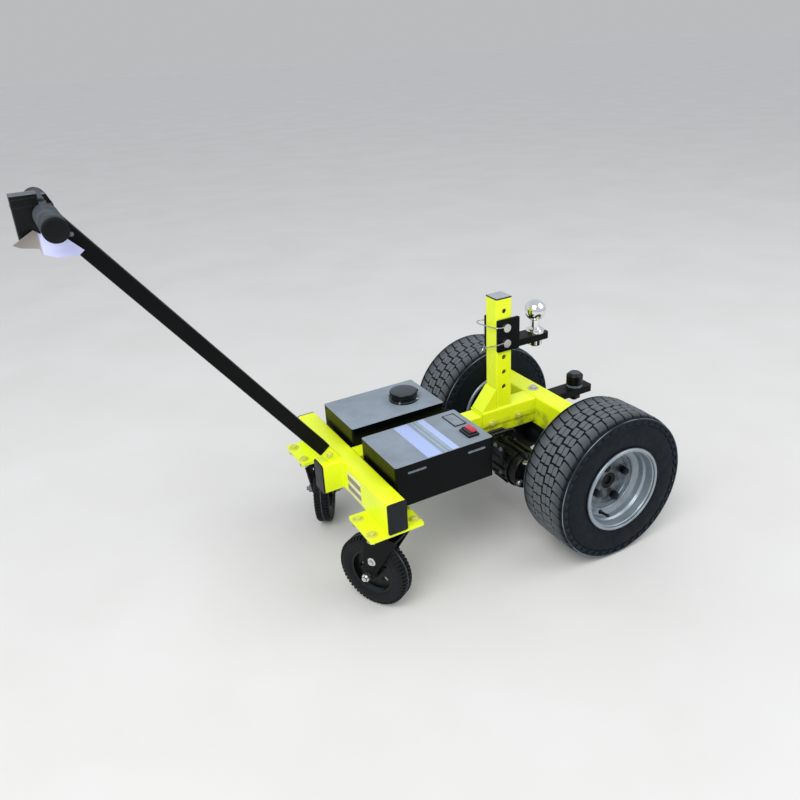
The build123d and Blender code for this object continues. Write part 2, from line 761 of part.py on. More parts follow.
with BuildPart() as drive_motor:
    with BuildSketch(Plane.XZ.offset(-motor_near)):
        with Locations((motor_x, motor_height)):
            Circle(bell_radius)
    extrude(amount=bell_length)
    fillet(drive_motor.edges().filter_by(GeomType.CIRCLE).sort_by(Axis.Y)[-1], bell_round)
    with BuildSketch(Plane.XZ.offset(-(motor_near - bell_length))):
        with Locations((motor_x, motor_height)):
            Circle(motor_radius)
    extrude(amount=motor_near - bell_length - gear_near)
    with BuildSketch(Plane.XZ.offset(-(motor_near + terminal_depth))):
        with Locations((motor_x, (terminal_low + terminal_top) / 2)):
            Rectangle(terminal_length, terminal_top - terminal_low)
    extrude(amount=terminal_depth + bell_round)
    # Two cables: from the left box, over the motor, down to its terminal block
    foot_y = motor_near + terminal_depth / 2
    for ahead, across in cable_places:
        x = axle_x + ahead
        with BuildLine() as cable_path:
            FilletPolyline((box_rear_x, across, cable_rise), (x, across, cable_rise),
                           (x, across, cable_run_height), (x, foot_y, cable_run_height),
                           (x, foot_y, terminal_top), radius=cable_bend)
        with BuildSketch(Plane(origin=(box_rear_x, across, cable_rise), z_dir=(-1, 0, 0))):
            Circle(cable_radius)
        sweep(path=cable_path.line)
save(drive_motor.part, "drive_motor")

for side, sign, start in (("left", 1, gear_near), ("right", -1, gear_far)):
    with BuildPart() as axle_tube:
        with BuildSketch(Plane.XZ.offset(-start)):
            with Locations((axle_x, axle_z)):
                Circle(axle_tube_radius)
        extrude(amount=start - sign * axle_tube_end)
        with BuildSketch(Plane.XZ.offset(-sign * axle_tube_end)):
            with Locations((axle_x, axle_z)):
                Circle(shaft_radius + shaft_clearance)
        extrude(amount=sign * (shaft_grip + shaft_end_room), mode=Mode.SUBTRACT)
    save(axle_tube.part, f"axle_tube_{side}")
    # Saddle between the axle tube and the rear tube, next to the wheel
    with BuildPart() as axle_bracket:
        with BuildSketch(Plane.XZ.offset(-sign * saddle_inner)):
            with Locations((rear_cross_x, axle_z)):
                Rectangle(saddle_block, frame_bottom - axle_z, align=(Align.CENTER, Align.MIN))
            with Locations((axle_x, axle_z)):
                Circle(axle_tube_radius + seat_gap, mode=Mode.SUBTRACT)
        extrude(amount=sign * (saddle_inner - saddle_outer))
    save(axle_bracket.part, f"axle_bracket_{side}")

# Drive wheels: the hub turns with the rim
disc_out = rim_half_width - dish_depth
disc_in = disc_out - disc_thickness
disc_y = wheel_offset + disc_out
disc_back_y = wheel_offset + disc_in
flange_in = rim_half_width - rim_flange_inset
tyre_points = [(across * tyre_width / 2, bead_radius + up * (tyre_radius - bead_radius))
               for across, up in tyre_curve]
wheel_axis = Axis((axle_x, 0, axle_z), (0, 1, 0))
for side, sign in (("left", 1), ("right", -1)):
    # The wheel's own plane: local x along the axle from its middle, local y up from the axle
    wheel_plane = Plane(origin=(axle_x, sign * wheel_offset, axle_z), x_dir=(0, 1, 0),
                        z_dir=(1, 0, 0))
    with BuildPart() as tyre:
        with BuildSketch(wheel_plane):
            with BuildLine():
                bead_side = Line((flange_in - seat_gap, bead_radius),
                                 (flange_in - seat_gap, rim_lip_radius))
                wall_arc = ThreePointArc(bead_side @ 1, tyre_points[0], tyre_points[1])
                shoulder = ThreePointArc(wall_arc @ 1, tyre_points[2], tyre_points[3])
                ThreePointArc(shoulder @ 1, tyre_points[4], (0, tyre_radius))
                Polyline((0, tyre_radius), (0, bead_radius), bead_side @ 0)
            make_face()
            mirror(about=Plane.YZ)
        revolve(axis=wheel_axis)
    save(tyre.part, f"tyre_{side}")
    # Pressed rim: lip, flange, bead seat, hump and well are one folded sheet, the disc is
    # welded in the well
    mid = rim_wall / 2
    half_profile = [(rim_half_width - mid, rim_lip_radius - 2 * rim_wall),
                    (rim_half_width - mid, rim_lip_radius - mid),
                    (flange_in + mid, rim_lip_radius - mid),
                    (flange_in + mid, bead_radius - seat_gap - mid),
                    (rim_seat_part * rim_half_width, bead_radius - rim_wall - mid),
                    (rim_hump_part * rim_half_width, rim_hump_radius),
                    (rim_slope_part * rim_half_width, rim_hump_radius - mid),
                    (rim_well_part * rim_half_width, rim_well_radius)]
    with BuildPart() as rim:
        with BuildSketch(wheel_plane):
            with BuildLine():
                FilletPolyline(*half_profile, *[(-a, r) for a, r in reversed(half_profile)],
                               radius=rim_fold_radius)
                offset(amount=mid, side=Side.BOTH, closed=True)
            make_face()
            with BuildLine():
                Polyline((sign * disc_out, hub_bore_radius),
                         (sign * disc_out, disc_ridge_radius - disc_ridge_width),
                         (sign * (disc_out + disc_ridge_height),
                          disc_ridge_radius - disc_ridge_width / 2),
                         (sign * (disc_out + disc_ridge_height),
                          disc_ridge_radius + disc_ridge_width / 2),
                         (sign * disc_out, disc_ridge_radius + disc_ridge_width),
                         (sign * disc_out, rim_well_radius),
                         (sign * disc_in, rim_well_radius),
                         (sign * disc_in, hub_bore_radius), close=True)
            make_face()
        revolve(axis=wheel_axis)
        with BuildSketch(Plane.XZ.offset(-sign * disc_back_y)):
            with Locations((axle_x, axle_z)):
                with PolarLocations(stud_circle / 2, stud_count, start_angle=stud_first_angle):
                    Circle(stud_radius + stud_hole_gap)
        extrude(amount=-sign * disc_thickness, mode=Mode.SUBTRACT)
    save(rim.part, f"rim_{side}")
    with BuildPart() as wheel_hub:
        with BuildSketch(Plane.XZ.offset(-sign * disc_back_y)):
            with Locations((axle_x, axle_z)):
                Circle(stud_circle / 2 + 2 * stud_radius)
        extrude(amount=sign * hub_flange)
        with BuildSketch(Plane.XZ.offset(-sign * disc_back_y)):
            with Locations((axle_x, axle_z)):
                Circle(hub_bore_radius - hub_bore_gap)
        extrude(amount=-sign * hub_pilot)
        with BuildSketch(Plane.XZ.offset(-sign * (axle_tube_end - shaft_grip))):
            with Locations((axle_x, axle_z)):
                Circle(shaft_radius)
        extrude(amount=-sign * (disc_back_y - axle_tube_end + shaft_grip))
        with BuildSketch(Plane.XZ.offset(-sign * (disc_back_y + hub_pilot))):
            with Locations((axle_x, axle_z)):
                Circle(hub_recess_radius)
        extrude(amount=sign * 2 * hub_pilot, mode=Mode.SUBTRACT)
        with BuildSketch(Plane.XZ.offset(-sign * disc_back_y)):
            with Locations((axle_x, axle_z)):
                with PolarLocations(stud_circle / 2, stud_count, start_angle=stud_first_angle):
                    Circle(stud_radius)
        extrude(amount=-sign * (disc_thickness + nut_height + stud_end))
        with BuildSketch(Plane.XZ.offset(-sign * disc_y)):
            with Locations((axle_x, axle_z)):
                with PolarLocations(stud_circle / 2, stud_count, start_angle=stud_first_angle):
                    RegularPolygon(nut_across / 2, 6, major_radius=False)
        extrude(amount=-sign * nut_height)
    save(wheel_hub.part, f"wheel_hub_{side}")

# Casters
caster_x = front_cross_x
fork_half = fork_gap / 2 + fork_wall
fork_reach = caster_trail + fork_crown_radius
crown_top = plate_bottom - top_plate_thickness - race_height - race_gap
for side, sign in (("left", 1), ("right", -1)):
    swivel_y = sign * caster_across
    heading = radians(caster_headings[side])
    wheel_centre = (caster_x + caster_trail * cos(heading),
                    swivel_y + caster_trail * sin(heading), caster_radius)
    with BuildPart() as caster_plate:
        with BuildSketch(Plane.XY.offset(plate_bottom)):
            with Locations((caster_x, swivel_y)):
                RectangleRounded(caster_plate_length, caster_plate_width, caster_plate_corner)
        extrude(amount=caster_plate_thickness)
    save(caster_plate.part, f"caster_plate_{side}")
    with BuildPart() as caster_race:
        with BuildSketch(Plane.XY.offset(plate_bottom)):
            with Locations((caster_x, swivel_y)):
                Rectangle(caster_plate_length - 2 * top_plate_inset,
                          caster_plate_width - 2 * top_plate_inset)
        extrude(amount=-top_plate_thickness)
        with BuildSketch(Plane.XY.offset(plate_bottom - top_plate_thickness)):
            with Locations((caster_x, swivel_y)):
                Circle(race_radius)
        extrude(amount=-race_height)
    save(caster_race.part, f"caster_race_{side}")
    # The fork's own plane: local x along its heading, local y up
    turned = Plane(origin=(caster_x, swivel_y, 0), x_dir=(cos(heading), sin(heading), 0),
                   z_dir=(sin(heading), -cos(heading), 0))
    with BuildPart() as caster_fork:
        with BuildSketch(turned.offset(-fork_half)):
            with Locations((0, crown_top - fork_crown / 2)):
                Rectangle(2 * fork_crown_radius, fork_crown)
            with Locations((caster_trail, caster_radius)):
                Circle(fork_foot_radius)
            make_hull()
        extrude(amount=2 * fork_half)
        with BuildSketch(turned.offset(-fork_gap / 2)):
            with Locations((0, (crown_top - fork_crown) / 2)):
                Rectangle(2 * fork_reach, crown_top - fork_crown)
        extrude(amount=fork_gap, mode=Mode.SUBTRACT)
        with BuildSketch(turned.offset(-fork_half)):
            with Locations((caster_trail, caster_radius)):
                Circle(caster_axle_radius + caster_axle_clearance)
        extrude(amount=2 * fork_half, mode=Mode.SUBTRACT)
    save(caster_fork.part, f"caster_fork_{side}")
    # The wheel's own plane: local x along its axle, local y up from its centre
    across = Plane(origin=wheel_centre, x_dir=(-sin(heading), cos(heading), 0),
                   z_dir=(cos(heading), sin(heading), 0))
    roll_axis = Axis(wheel_centre, (-sin(heading), cos(heading), 0))
    with BuildPart() as caster_tyre:
        with BuildSketch(across):
            with BuildLine():
                tread = ThreePointArc((-caster_width / 2, caster_radius - caster_shoulder),
                                      (0, caster_radius),
                                      (caster_width / 2, caster_radius - caster_shoulder))
                Polyline(tread @ 1, (caster_width / 2, caster_rim_radius + caster_shoulder),
                         (caster_rim_half, caster_rim_radius + seat_gap),
                         (-caster_rim_half, caster_rim_radius + seat_gap),
                         (-caster_width / 2, caster_rim_radius + caster_shoulder), tread @ 0)
            make_face()
        revolve(axis=roll_axis)
    save(caster_tyre.part, f"caster_tyre_{side}")
    with BuildPart() as caster_rim:
        with BuildSketch(across):
            with BuildLine():
                quarter = [(caster_rim_half, caster_rim_radius),
                           (caster_rim_half, caster_rim_radius - caster_rim_wall),
                           (caster_web_half, caster_rim_radius - caster_rim_wall),
                           (caster_web_half, caster_hub_radius),
                           (caster_hub_half, caster_hub_radius),
                           (caster_hub_half, caster_axle_radius + caster_axle_clearance)]
                Polyline(*quarter, *[(-a, r) for a, r in reversed(quarter)], close=True)
            make_face()
        revolve(axis=roll_axis)
        with BuildSketch(turned.offset(-caster_web_half)):
            with Locations((caster_trail, caster_radius)):
                with PolarLocations((caster_rim_radius - caster_rim_wall + caster_hub_radius) / 2,
                                    caster_slot_count):
                    Circle(caster_slot_radius)
        extrude(amount=2 * caster_web_half, mode=Mode.SUBTRACT)
    save(caster_rim.part, f"caster_rim_{side}")
    with BuildPart() as caster_axle:
        with BuildSketch(turned.offset(-(fork_half + caster_axle_end))):
            with Locations((caster_trail, caster_radius)):
                Circle(caster_axle_radius)
        extrude(amount=2 * (fork_half + caster_axle_end))
        for offset_start in (-(fork_half + caster_nut_height), fork_half):
            with BuildSketch(turned.offset(offset_start)):
                with Locations((caster_trail, caster_radius)):
                    RegularPolygon(caster_nut_across / 2, 6, major_radius=False)
            extrude(amount=caster_nut_height)
    save(caster_axle.part, f"caster_axle_{side}")
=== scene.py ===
import math
import bmesh
import bpy
from mathutils import Matrix, Vector


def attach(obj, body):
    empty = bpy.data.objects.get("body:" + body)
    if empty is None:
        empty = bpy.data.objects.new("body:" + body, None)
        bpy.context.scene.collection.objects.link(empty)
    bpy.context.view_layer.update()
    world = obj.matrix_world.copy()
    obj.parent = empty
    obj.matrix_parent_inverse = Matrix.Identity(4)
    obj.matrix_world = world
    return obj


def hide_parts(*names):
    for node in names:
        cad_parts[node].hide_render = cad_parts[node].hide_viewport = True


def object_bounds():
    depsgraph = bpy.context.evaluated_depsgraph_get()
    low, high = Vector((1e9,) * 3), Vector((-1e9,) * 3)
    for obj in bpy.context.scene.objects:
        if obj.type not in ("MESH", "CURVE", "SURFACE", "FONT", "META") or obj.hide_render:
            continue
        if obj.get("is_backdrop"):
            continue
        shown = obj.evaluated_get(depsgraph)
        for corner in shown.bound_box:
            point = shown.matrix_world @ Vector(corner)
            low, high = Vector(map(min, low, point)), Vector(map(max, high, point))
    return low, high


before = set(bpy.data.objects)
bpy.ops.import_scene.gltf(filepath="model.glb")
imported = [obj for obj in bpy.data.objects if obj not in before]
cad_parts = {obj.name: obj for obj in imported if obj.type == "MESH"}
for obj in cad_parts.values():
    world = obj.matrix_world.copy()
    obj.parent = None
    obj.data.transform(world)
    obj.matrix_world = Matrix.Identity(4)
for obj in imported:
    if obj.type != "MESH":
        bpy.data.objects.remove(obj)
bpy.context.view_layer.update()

# Places are millimetres ahead of the drive axle, across and up, as the CAD's own names give
# them. The axle lies this far from the frame's origin, in metres.
AXLE_X = -0.5115
AXLE_Z = 0.203
WHEEL_Y = 0.278
CASTER_AHEAD, CASTER_ACROSS, CASTER_Z = 604.0, 204.0, 97.0
TRAIL = 42.0                     # from a caster's swivel to its axle
HEADING = {"left": -61.0, "right": -120.0}    # of each caster's trail, in degrees
SPINE_TOP = 342                  # top face of the spine's sleeve and of the rear crossmember
CROSS_TUBE = (579, 629)          # back and front faces of the front cross tube
POST, POST_TOP = (109, 159), 655    # back and front faces of the post, and its open end
BOX_TOP = 382
GUARD_FOLD = 1178
BALL_AHEAD, BALL_ARM_FOOT = 12, 510.5
KNOB_AHEAD, REAR_ARM_TOP = -138, 323
MOTOR_AHEAD, MOTOR_UP = 133, 189
INLET_AHEAD, INLET_ACROSS = 376, -107
HANDLE_AHEAD, HANDLE_UP = 1159, 1032
ABOUT = Matrix.Rotation(math.pi, 4, "Z")         # faces a piece the other way
UPRIGHT = Matrix.Rotation(math.pi / 2, 4, "X")    # stands a turned piece on end


def at(ahead, across, up):
    """A place in metres in the frame."""
    return Vector((AXLE_X + ahead / 1000, across / 1000, up / 1000))


# Camera, as the photograph was taken: its side, focal length and optical centre are in pixels

AZIMUTH, ELEVATION, ROLL = math.radians(61.9), math.radians(24.6), math.radians(-3.1)
CAMERA_AHEAD, CAMERA_ACROSS, CAMERA_UP = 1258.4, 1579.5, 1316.4
SIDE, FOCAL, CENTRE_X, CENTRE_Y = 800, 772.0, 408.3, 377.6
SENSOR = 36.0
forward = Vector((-math.cos(AZIMUTH) * math.cos(ELEVATION), -math.sin(AZIMUTH) * math.cos(ELEVATION),
                  -math.sin(ELEVATION)))
level = forward.cross(Vector((0, 0, 1))).normalized()
upward = level.cross(forward)
right = math.cos(ROLL) * level + math.sin(ROLL) * upward
up = -math.sin(ROLL) * level + math.cos(ROLL) * upward
camera_data = bpy.data.cameras.new("camera")
camera = bpy.data.objects.new("camera", camera_data)
bpy.context.scene.collection.objects.link(camera)
camera.matrix_world = Matrix.Translation(at(CAMERA_AHEAD, CAMERA_ACROSS, CAMERA_UP)) @ Matrix(
    (right, up, -forward)).transposed().to_4x4()
camera_data.sensor_width = SENSOR
camera_data.lens = FOCAL * SENSOR / SIDE
camera_data.shift_x = -(CENTRE_X - SIDE / 2) / SIDE
camera_data.shift_y = (CENTRE_Y - SIDE / 2) / SIDE
bpy.context.scene.camera = camera
bpy.context.scene.view_settings.view_transform = "Standard"

# Materials


def rgb(text):
    """An sRGB hex value as a linear colour."""
    parts = [int(text[i:i + 2], 16) / 255 for i in (0, 2, 4)]
    return [p / 12.92 if p <= 0.04045 else ((p + 0.055) / 1.055) ** 2.4 for p in parts] + [1.0]


def add(mat, kind, settings=None, **links):
    """A node of that kind, its settings by property or socket, its inputs linked to (node, output) pairs."""
    made = mat.node_tree.nodes.new(kind)
    for key, value in (settings or {}).items():
        if isinstance(key, str) and hasattr(made, key):
            setattr(made, key, value)
        else:
            made.inputs[key].default_value = value
    for key, (source, output) in links.items():
        numbered = key[0] == "n" and key[1:].isdigit()
        socket = made.inputs[int(key[1:]) if numbered else key.replace("_", " ")]
        mat.node_tree.links.new(source.outputs[output], socket)
    return made


def feed(mat, node, output, socket):
    """Links a node's output to a socket of the material's shader."""
    mat.node_tree.links.new(node.outputs[output], mat.node_tree.nodes["Principled BSDF"].inputs[socket])


def finish(name, colours, patch, rough, grain, depth, metallic=0.0, stretch=(1.0, 1.0, 1.0), edge=0.0,
           shine=0.5):
    """A finish that drifts between two colours over `patch` mm, its roughness going from rough[0] to
    rough[1], its bump `grain` mm wide and `depth` mm deep; `edge` mm is the radius its edges look
    rounded by, and `shine` the strength of the mirror image on it. Returns the material, its object
    coordinates and its colour."""
    mat = bpy.data.materials.new(name)
    mat.use_nodes = True
    shader = mat.node_tree.nodes["Principled BSDF"]
    shader.inputs["Metallic"].default_value = metallic
    shader.inputs["Specular IOR Level"].default_value = shine
    place = add(mat, "ShaderNodeTexCoord")
    turn = add(mat, "ShaderNodeMapping", {"Scale": stretch}, Vector=(place, "Object"))
    patches = add(mat, "ShaderNodeTexNoise", {"Scale": 1000 / patch, "Detail": 4.0}, Vector=(turn, 0))
    spread = add(mat, "ShaderNodeMapRange", {"From Min": 0.35, "From Max": 0.65}, Value=(patches, 0))
    colour = add(mat, "ShaderNodeMix", {"data_type": "RGBA", 6: rgb(colours[0]), 7: rgb(colours[1])},
                 n0=(spread, 0))
    feed(mat, colour, 2, "Base Color")
    smears = add(mat, "ShaderNodeTexNoise", {"Scale": 2500 / patch, "Detail": 5.0}, Vector=(turn, 0))
    sheen = add(mat, "ShaderNodeMapRange", {"From Min": 0.3, "From Max": 0.7, "To Min": rough[0],
                                            "To Max": rough[1]}, Value=(smears, 0))
    feed(mat, sheen, 0, "Roughness")
    grains = add(mat, "ShaderNodeTexNoise", {"Scale": 1000 / grain, "Detail": 2.0}, Vector=(turn, 0))
    bump = add(mat, "ShaderNodeBump", {"Strength": 1.0, "Distance": depth / 1000}, Height=(grains, 0))
    if edge:
        rounded = add(mat, "ShaderNodeBevel", {"samples": 4, "Radius": edge / 1000})
        mat.node_tree.links.new(rounded.outputs[0], bump.inputs["Normal"])
    feed(mat, bump, 0, "Normal")
    return mat, place, colour


def sky_and_dust_on_top(mat, place, colour, tone, most):
    """Lays a patchy pale tone on what faces up, `most` of it where it lies thickest: dust, with a painted
    reflection of the sky in it.
    """
    axes = add(mat, "ShaderNodeSeparateXYZ", {}, Vector=(place, "Normal"))
    level_top = add(mat, "ShaderNodeMapRange", {"From Min": 0.8, "From Max": 0.98, "To Max": most},
                    Value=(axes, "Z"))
    tone_patches = add(mat, "ShaderNodeTexNoise", {"Scale": 1000 / 70, "Detail": 6.0}, Vector=(place, "Object"))
    patch_share = add(mat, "ShaderNodeMapRange", {"From Min": 0.2, "From Max": 0.7, "To Min": 0.7},
                  Value=(tone_patches, 0))
    amount = add(mat, "ShaderNodeMath", {"operation": "MULTIPLY"}, n0=(level_top, 0), n1=(patch_share, 0))
    toned = add(mat, "ShaderNodeMix", {"data_type": "RGBA", 7: rgb(tone)}, n0=(amount, 0), n6=(colour, 2))
    feed(mat, toned, 2, "Base Color")


def wheel_radius(mat, place):
    """How far a point lies from the drive axle, as a node's output "Value"."""
    centred = add(mat, "ShaderNodeMapping", {"Location": (-AXLE_X, 0.0, -AXLE_Z), "Scale": (1.0, 0.0, 1.0)},
                  Vector=(place, "Object"))
    return add(mat, "ShaderNodeVectorMath", {"operation": "LENGTH"}, n0=(centred, 0))


# Grain, peel and hairlines are finer on the real one than in these finishes. They are drawn a few
# millimetres wide, or they would not show at the photograph's distance.
FINISH = {}

# Steel tube in neon yellow polyester powder coat, sprayed and baked: an even skin with a slight
# orange peel, and edges rounded by the coat's thickness
mat, place, colour = finish("powder_coat_neon_yellow", ("E4F414", "ECFA1C"), 120, (0.26, 0.4), 6, 0.1,
                            edge=1.6)
scuff = add(mat, "ShaderNodeTexNoise", {"Scale": 1000 / 9, "Detail": 8.0, "Roughness": 0.75},
            Vector=(place, "Object"))
mark = add(mat, "ShaderNodeMapRange", {"From Min": 0.66, "From Max": 0.74, "To Max": 0.5}, Value=(scuff, 0))
dusty = add(mat, "ShaderNodeMix", {"data_type": "RGBA", 7: rgb("B9C23A")}, n0=(mark, 0), n6=(colour, 2))
# Painted shade darkens the yellow low on the sleeve and the rear crossmember, near the wheels: the shade
# under the sleeve's overhang, mottled like road film. It fades out over these metres up and ahead.
SHADE_UP, SHADE_AHEAD = (0.297, 0.313), (-0.32, -0.27)
axes = add(mat, "ShaderNodeSeparateXYZ", {}, Vector=(place, "Object"))
low = add(mat, "ShaderNodeMapRange", {"From Min": SHADE_UP[0], "From Max": SHADE_UP[1], "To Min": 1.0,
                                      "To Max": 0.0}, Value=(axes, "Z"))
behind = add(mat, "ShaderNodeMapRange", {"From Min": SHADE_AHEAD[0], "From Max": SHADE_AHEAD[1], "To Min": 1.0,
                                         "To Max": 0.0}, Value=(axes, "X"))
mottle = add(mat, "ShaderNodeTexNoise", {"Scale": 1000 / 30, "Detail": 6.0}, Vector=(place, "Object"))
spread = add(mat, "ShaderNodeMapRange", {"From Min": 0.38, "From Max": 0.62, "To Max": 0.7}, Value=(mottle, 0))
# Painted shade under the sleeve's overhang: a mottled darker olive
where = add(mat, "ShaderNodeMath", {"operation": "MULTIPLY"}, n0=(low, 0), n1=(behind, 0))
tone_patches = add(mat, "ShaderNodeMath", {"operation": "MULTIPLY"}, n0=(where, 0), n1=(spread, 0))
toned = add(mat, "ShaderNodeMix", {"data_type": "RGBA", 7: rgb("7E8430")}, n0=(tone_patches, 0), n6=(dusty, 2))
feed(mat, toned, 2, "Base Color")
FINISH["yellow"] = mat

# Steel in satin black powder coat: nearly black, a fine peel and soft highlights
FINISH["black"] = finish("powder_coat_satin_black", ("020304", "060708"), 90, (0.3, 0.46), 5, 0.08,
                         edge=1.2, shine=0.12)[0]

# Steel sheet boxes in gloss black paint: they mirror the sky. What faces up is painted a paler blue-grey:
# a painted reflection of the sky, over a thin film of road dust
mat, place, colour = finish("gloss_black_painted_sheet", ("020405", "050709"), 140, (0.12, 0.26), 14, 0.05,
                            edge=1.5, shine=0.1)
# Painted reflection of the sky, with dust, on the boxes' tops
sky_and_dust_on_top(mat, place, colour, "8E99A4", 0.95)
FINISH["gloss"] = mat

# Turf tyre, moulded carbon-black rubber: dark sidewalls with one pale mould ring, a tread that the
# road has worn grey, and the bars' outer ends a shade lighter than the sidewall
mat, place, colour = finish("moulded_tyre_rubber", ("050D14", "0A141C"), 40, (0.5, 0.68), 3, 0.15, shine=0.16)
radius = wheel_radius(mat, place)
# Worn where the radius is that of the lugs' tops, and less so towards the shoulders
worn = add(mat, "ShaderNodeMapRange", {"From Min": 0.1988, "From Max": 0.2006}, Value=(radius, "Value"))
sides = add(mat, "ShaderNodeSeparateXYZ", {}, Vector=(place, "Object"))
off_axle = add(mat, "ShaderNodeMath", {"operation": "ABSOLUTE"}, n0=(sides, "Y"))
off_wheel = add(mat, "ShaderNodeMath", {"operation": "SUBTRACT", 1: WHEEL_Y}, n0=(off_axle, 0))
from_middle = add(mat, "ShaderNodeMath", {"operation": "ABSOLUTE"}, n0=(off_wheel, 0))
rolled = add(mat, "ShaderNodeMapRange", {"From Min": 0.036, "From Max": 0.07, "To Min": 1.0, "To Max": 0.3},
             Value=(from_middle, 0))
greyed = add(mat, "ShaderNodeMath", {"operation": "MULTIPLY"}, n0=(worn, 0), n1=(rolled, 0))
tread = add(mat, "ShaderNodeMix", {"data_type": "RGBA", 7: rgb("5F6468")}, n0=(greyed, 0), n6=(colour, 2))
# The bars' outer ends: beyond the carcass and above the foot of the bars
beyond = add(mat, "ShaderNodeMapRange", {"From Min": 0.077, "From Max": 0.0785}, Value=(from_middle, 0))
under = add(mat, "ShaderNodeMath", {"operation": "GREATER_THAN", 1: 0.1775}, n0=(radius, "Value"))
buttress = add(mat, "ShaderNodeMath", {"operation": "MULTIPLY"}, n0=(beyond, 0), n1=(under, 0))
tread = add(mat, "ShaderNodeMix", {"data_type": "RGBA", 7: rgb("141E27")}, n0=(buttress, 0), n6=(tread, 2))
# The mould ring: the top of the shoulder rib, scuffed away in places
ring = add(mat, "ShaderNodeMath", {"operation": "COMPARE", 1: 0.0772, 2: 0.0008}, n0=(from_middle, 0))
high = add(mat, "ShaderNodeMath", {"operation": "GREATER_THAN", 1: 0.1952}, n0=(radius, "Value"))
ridge = add(mat, "ShaderNodeMath", {"operation": "MULTIPLY"}, n0=(ring, 0), n1=(high, 0))
broken = add(mat, "ShaderNodeTexNoise", {"Scale": 1000 / 90, "Detail": 3.0}, Vector=(place, "Object"))
kept = add(mat, "ShaderNodeMapRange", {"From Min": 0.4, "From Max": 0.58, "To Min": 0.15}, Value=(broken, 0))
pale = add(mat, "ShaderNodeMath", {"operation": "MULTIPLY"}, n0=(ridge, 0), n1=(kept, 0))
ringed = add(mat, "ShaderNodeMix", {"data_type": "RGBA", 7: rgb("7C868C")}, n0=(pale, 0), n6=(tread, 2))
feed(mat, ringed, 2, "Base Color")
FINISH["tyre"] = mat

# Caster tyre, moulded rubber: dull blue-black
FINISH["caster"] = finish("moulded_caster_rubber", ("06090C", "0D1114"), 25, (0.45, 0.62), 3, 0.15,
                          shine=0.2)[0]
# A pale ring round the middle of its tread: a painted highlight, where the light runs along the tread
FINISH["tread_highlight"] = finish("caster_rubber_painted_highlight", ("3A4146", "545C61"), 14, (0.5, 0.7), 2, 0.1,
                              shine=0.3)[0]

# Pressed steel rim in silver aluminium-flake lacquer: a soft metal sheen, and painted shade that darkens
# its disc towards the middle, deep in the wheel round the hub
mat, place, colour = finish("silver_flake_lacquer", ("8C979F", "9DA7AF"), 60, (0.26, 0.4), 1.5, 0.02,
                            metallic=0.6, edge=1.0)
radius = wheel_radius(mat, place)
# Painted shade on the disc, darkest at the middle
painted_shade_depth = add(mat, "ShaderNodeMapRange", {"From Min": 0.05, "From Max": 0.09, "To Min": 0.92, "To Max": 0.0},
             Value=(radius, "Value"))
blotch = add(mat, "ShaderNodeTexNoise", {"Scale": 1000 / 22, "Detail": 5.0}, Vector=(place, "Object"))
shade_patches = add(mat, "ShaderNodeMapRange", {"From Min": 0.25, "From Max": 0.6, "To Min": 0.45},
             Value=(blotch, 0))
amount = add(mat, "ShaderNodeMath", {"operation": "MULTIPLY"}, n0=(painted_shade_depth, 0), n1=(shade_patches, 0))
disc_shaded = add(mat, "ShaderNodeMix", {"data_type": "RGBA", 7: rgb("1C2327")}, n0=(amount, 0), n6=(colour, 2))
feed(mat, disc_shaded, 2, "Base Color")
FINISH["silver"] = mat

# Bolts, pins and axles, bright zinc plate over steel: cool white metal with smears
FINISH["zinc"] = finish("bright_zinc_plate", ("C9CBCC", "E0E0DC"), 12, (0.2, 0.38), 2, 0.03, metallic=1.0)[0]
# Plate and sleeve bolts, yellow passivated zinc gone dull: pale straw
FINISH["straw"] = finish("dull_passivated_zinc", ("C6CA4E", "DBDF6C"), 12, (0.4, 0.6), 2, 0.05,
                         metallic=0.25)[0]

# Tow ball, chrome plate over polished steel: a mirror with faint hairlines from the coupler
FINISH["chrome"] = finish("chrome_plate", ("DDDFE1", "EDEEEF"), 30, (0.04, 0.12), 8, 0.01, metallic=1.0)[0]

# Tube plugs and small fittings, moulded black polyethylene: blue-grey with the sky on its fine grain
FINISH["plug"] = finish("moulded_polyethylene", ("12171A", "1A2023"), 40, (0.38, 0.5), 2.5, 0.06,
                        edge=1.0, shine=0.2)[0]
# The post's plug, bleached, is painted paler on top: a painted reflection of the sky, with dust
mat, place, colour = finish("bleached_polyethylene", ("20262A", "2C3337"), 40, (0.42, 0.6), 2.5, 0.06,
                            edge=1.0, shine=0.3)
sky_and_dust_on_top(mat, place, colour, "ADB2BA", 0.9)
FINISH["pale_plug"] = mat

# Control head, lid, switch housing and inlet, moulded ABS: black with a fine spark-eroded grain; what faces
# up is painted a paler grey, a painted reflection of the sky over dust
mat, place, colour = finish("moulded_black_abs", ("040506", "090B0D"), 30, (0.28, 0.44), 1.8, 0.05,
                            edge=0.8, shine=0.25)
sky_and_dust_on_top(mat, place, colour, "4E565D", 0.6)
FINISH["abs"] = mat

# Gear case and axle tubes, sand-cast iron under black paint: a coarse skin
FINISH["cast"] = finish("painted_sand_casting", ("040506", "0B0C0E"), 35, (0.4, 0.62), 3.5, 0.35,
                        edge=1.5, shine=0.25)[0]

# Motor shell, rolled steel tube in black stoving enamel: a long soft highlight
FINISH["enamel"] = finish("black_stoving_enamel", ("090A0C", "0F1114"), 60, (0.25, 0.4), 10, 0.06,
                          stretch=(1.0, 0.3, 1.0), edge=1.0, shine=0.3)[0]

# Switch rocker, moulded red polycarbonate: a glossy skin over a slightly uneven red
mat = finish("moulded_red_polycarbonate", ("A01A2C", "BE3048"), 12, (0.12, 0.22), 6, 0.03, edge=0.6)[0]
mat.node_tree.nodes["Principled BSDF"].inputs["Coat Weight"].default_value = 0.4
FINISH["red"] = mat
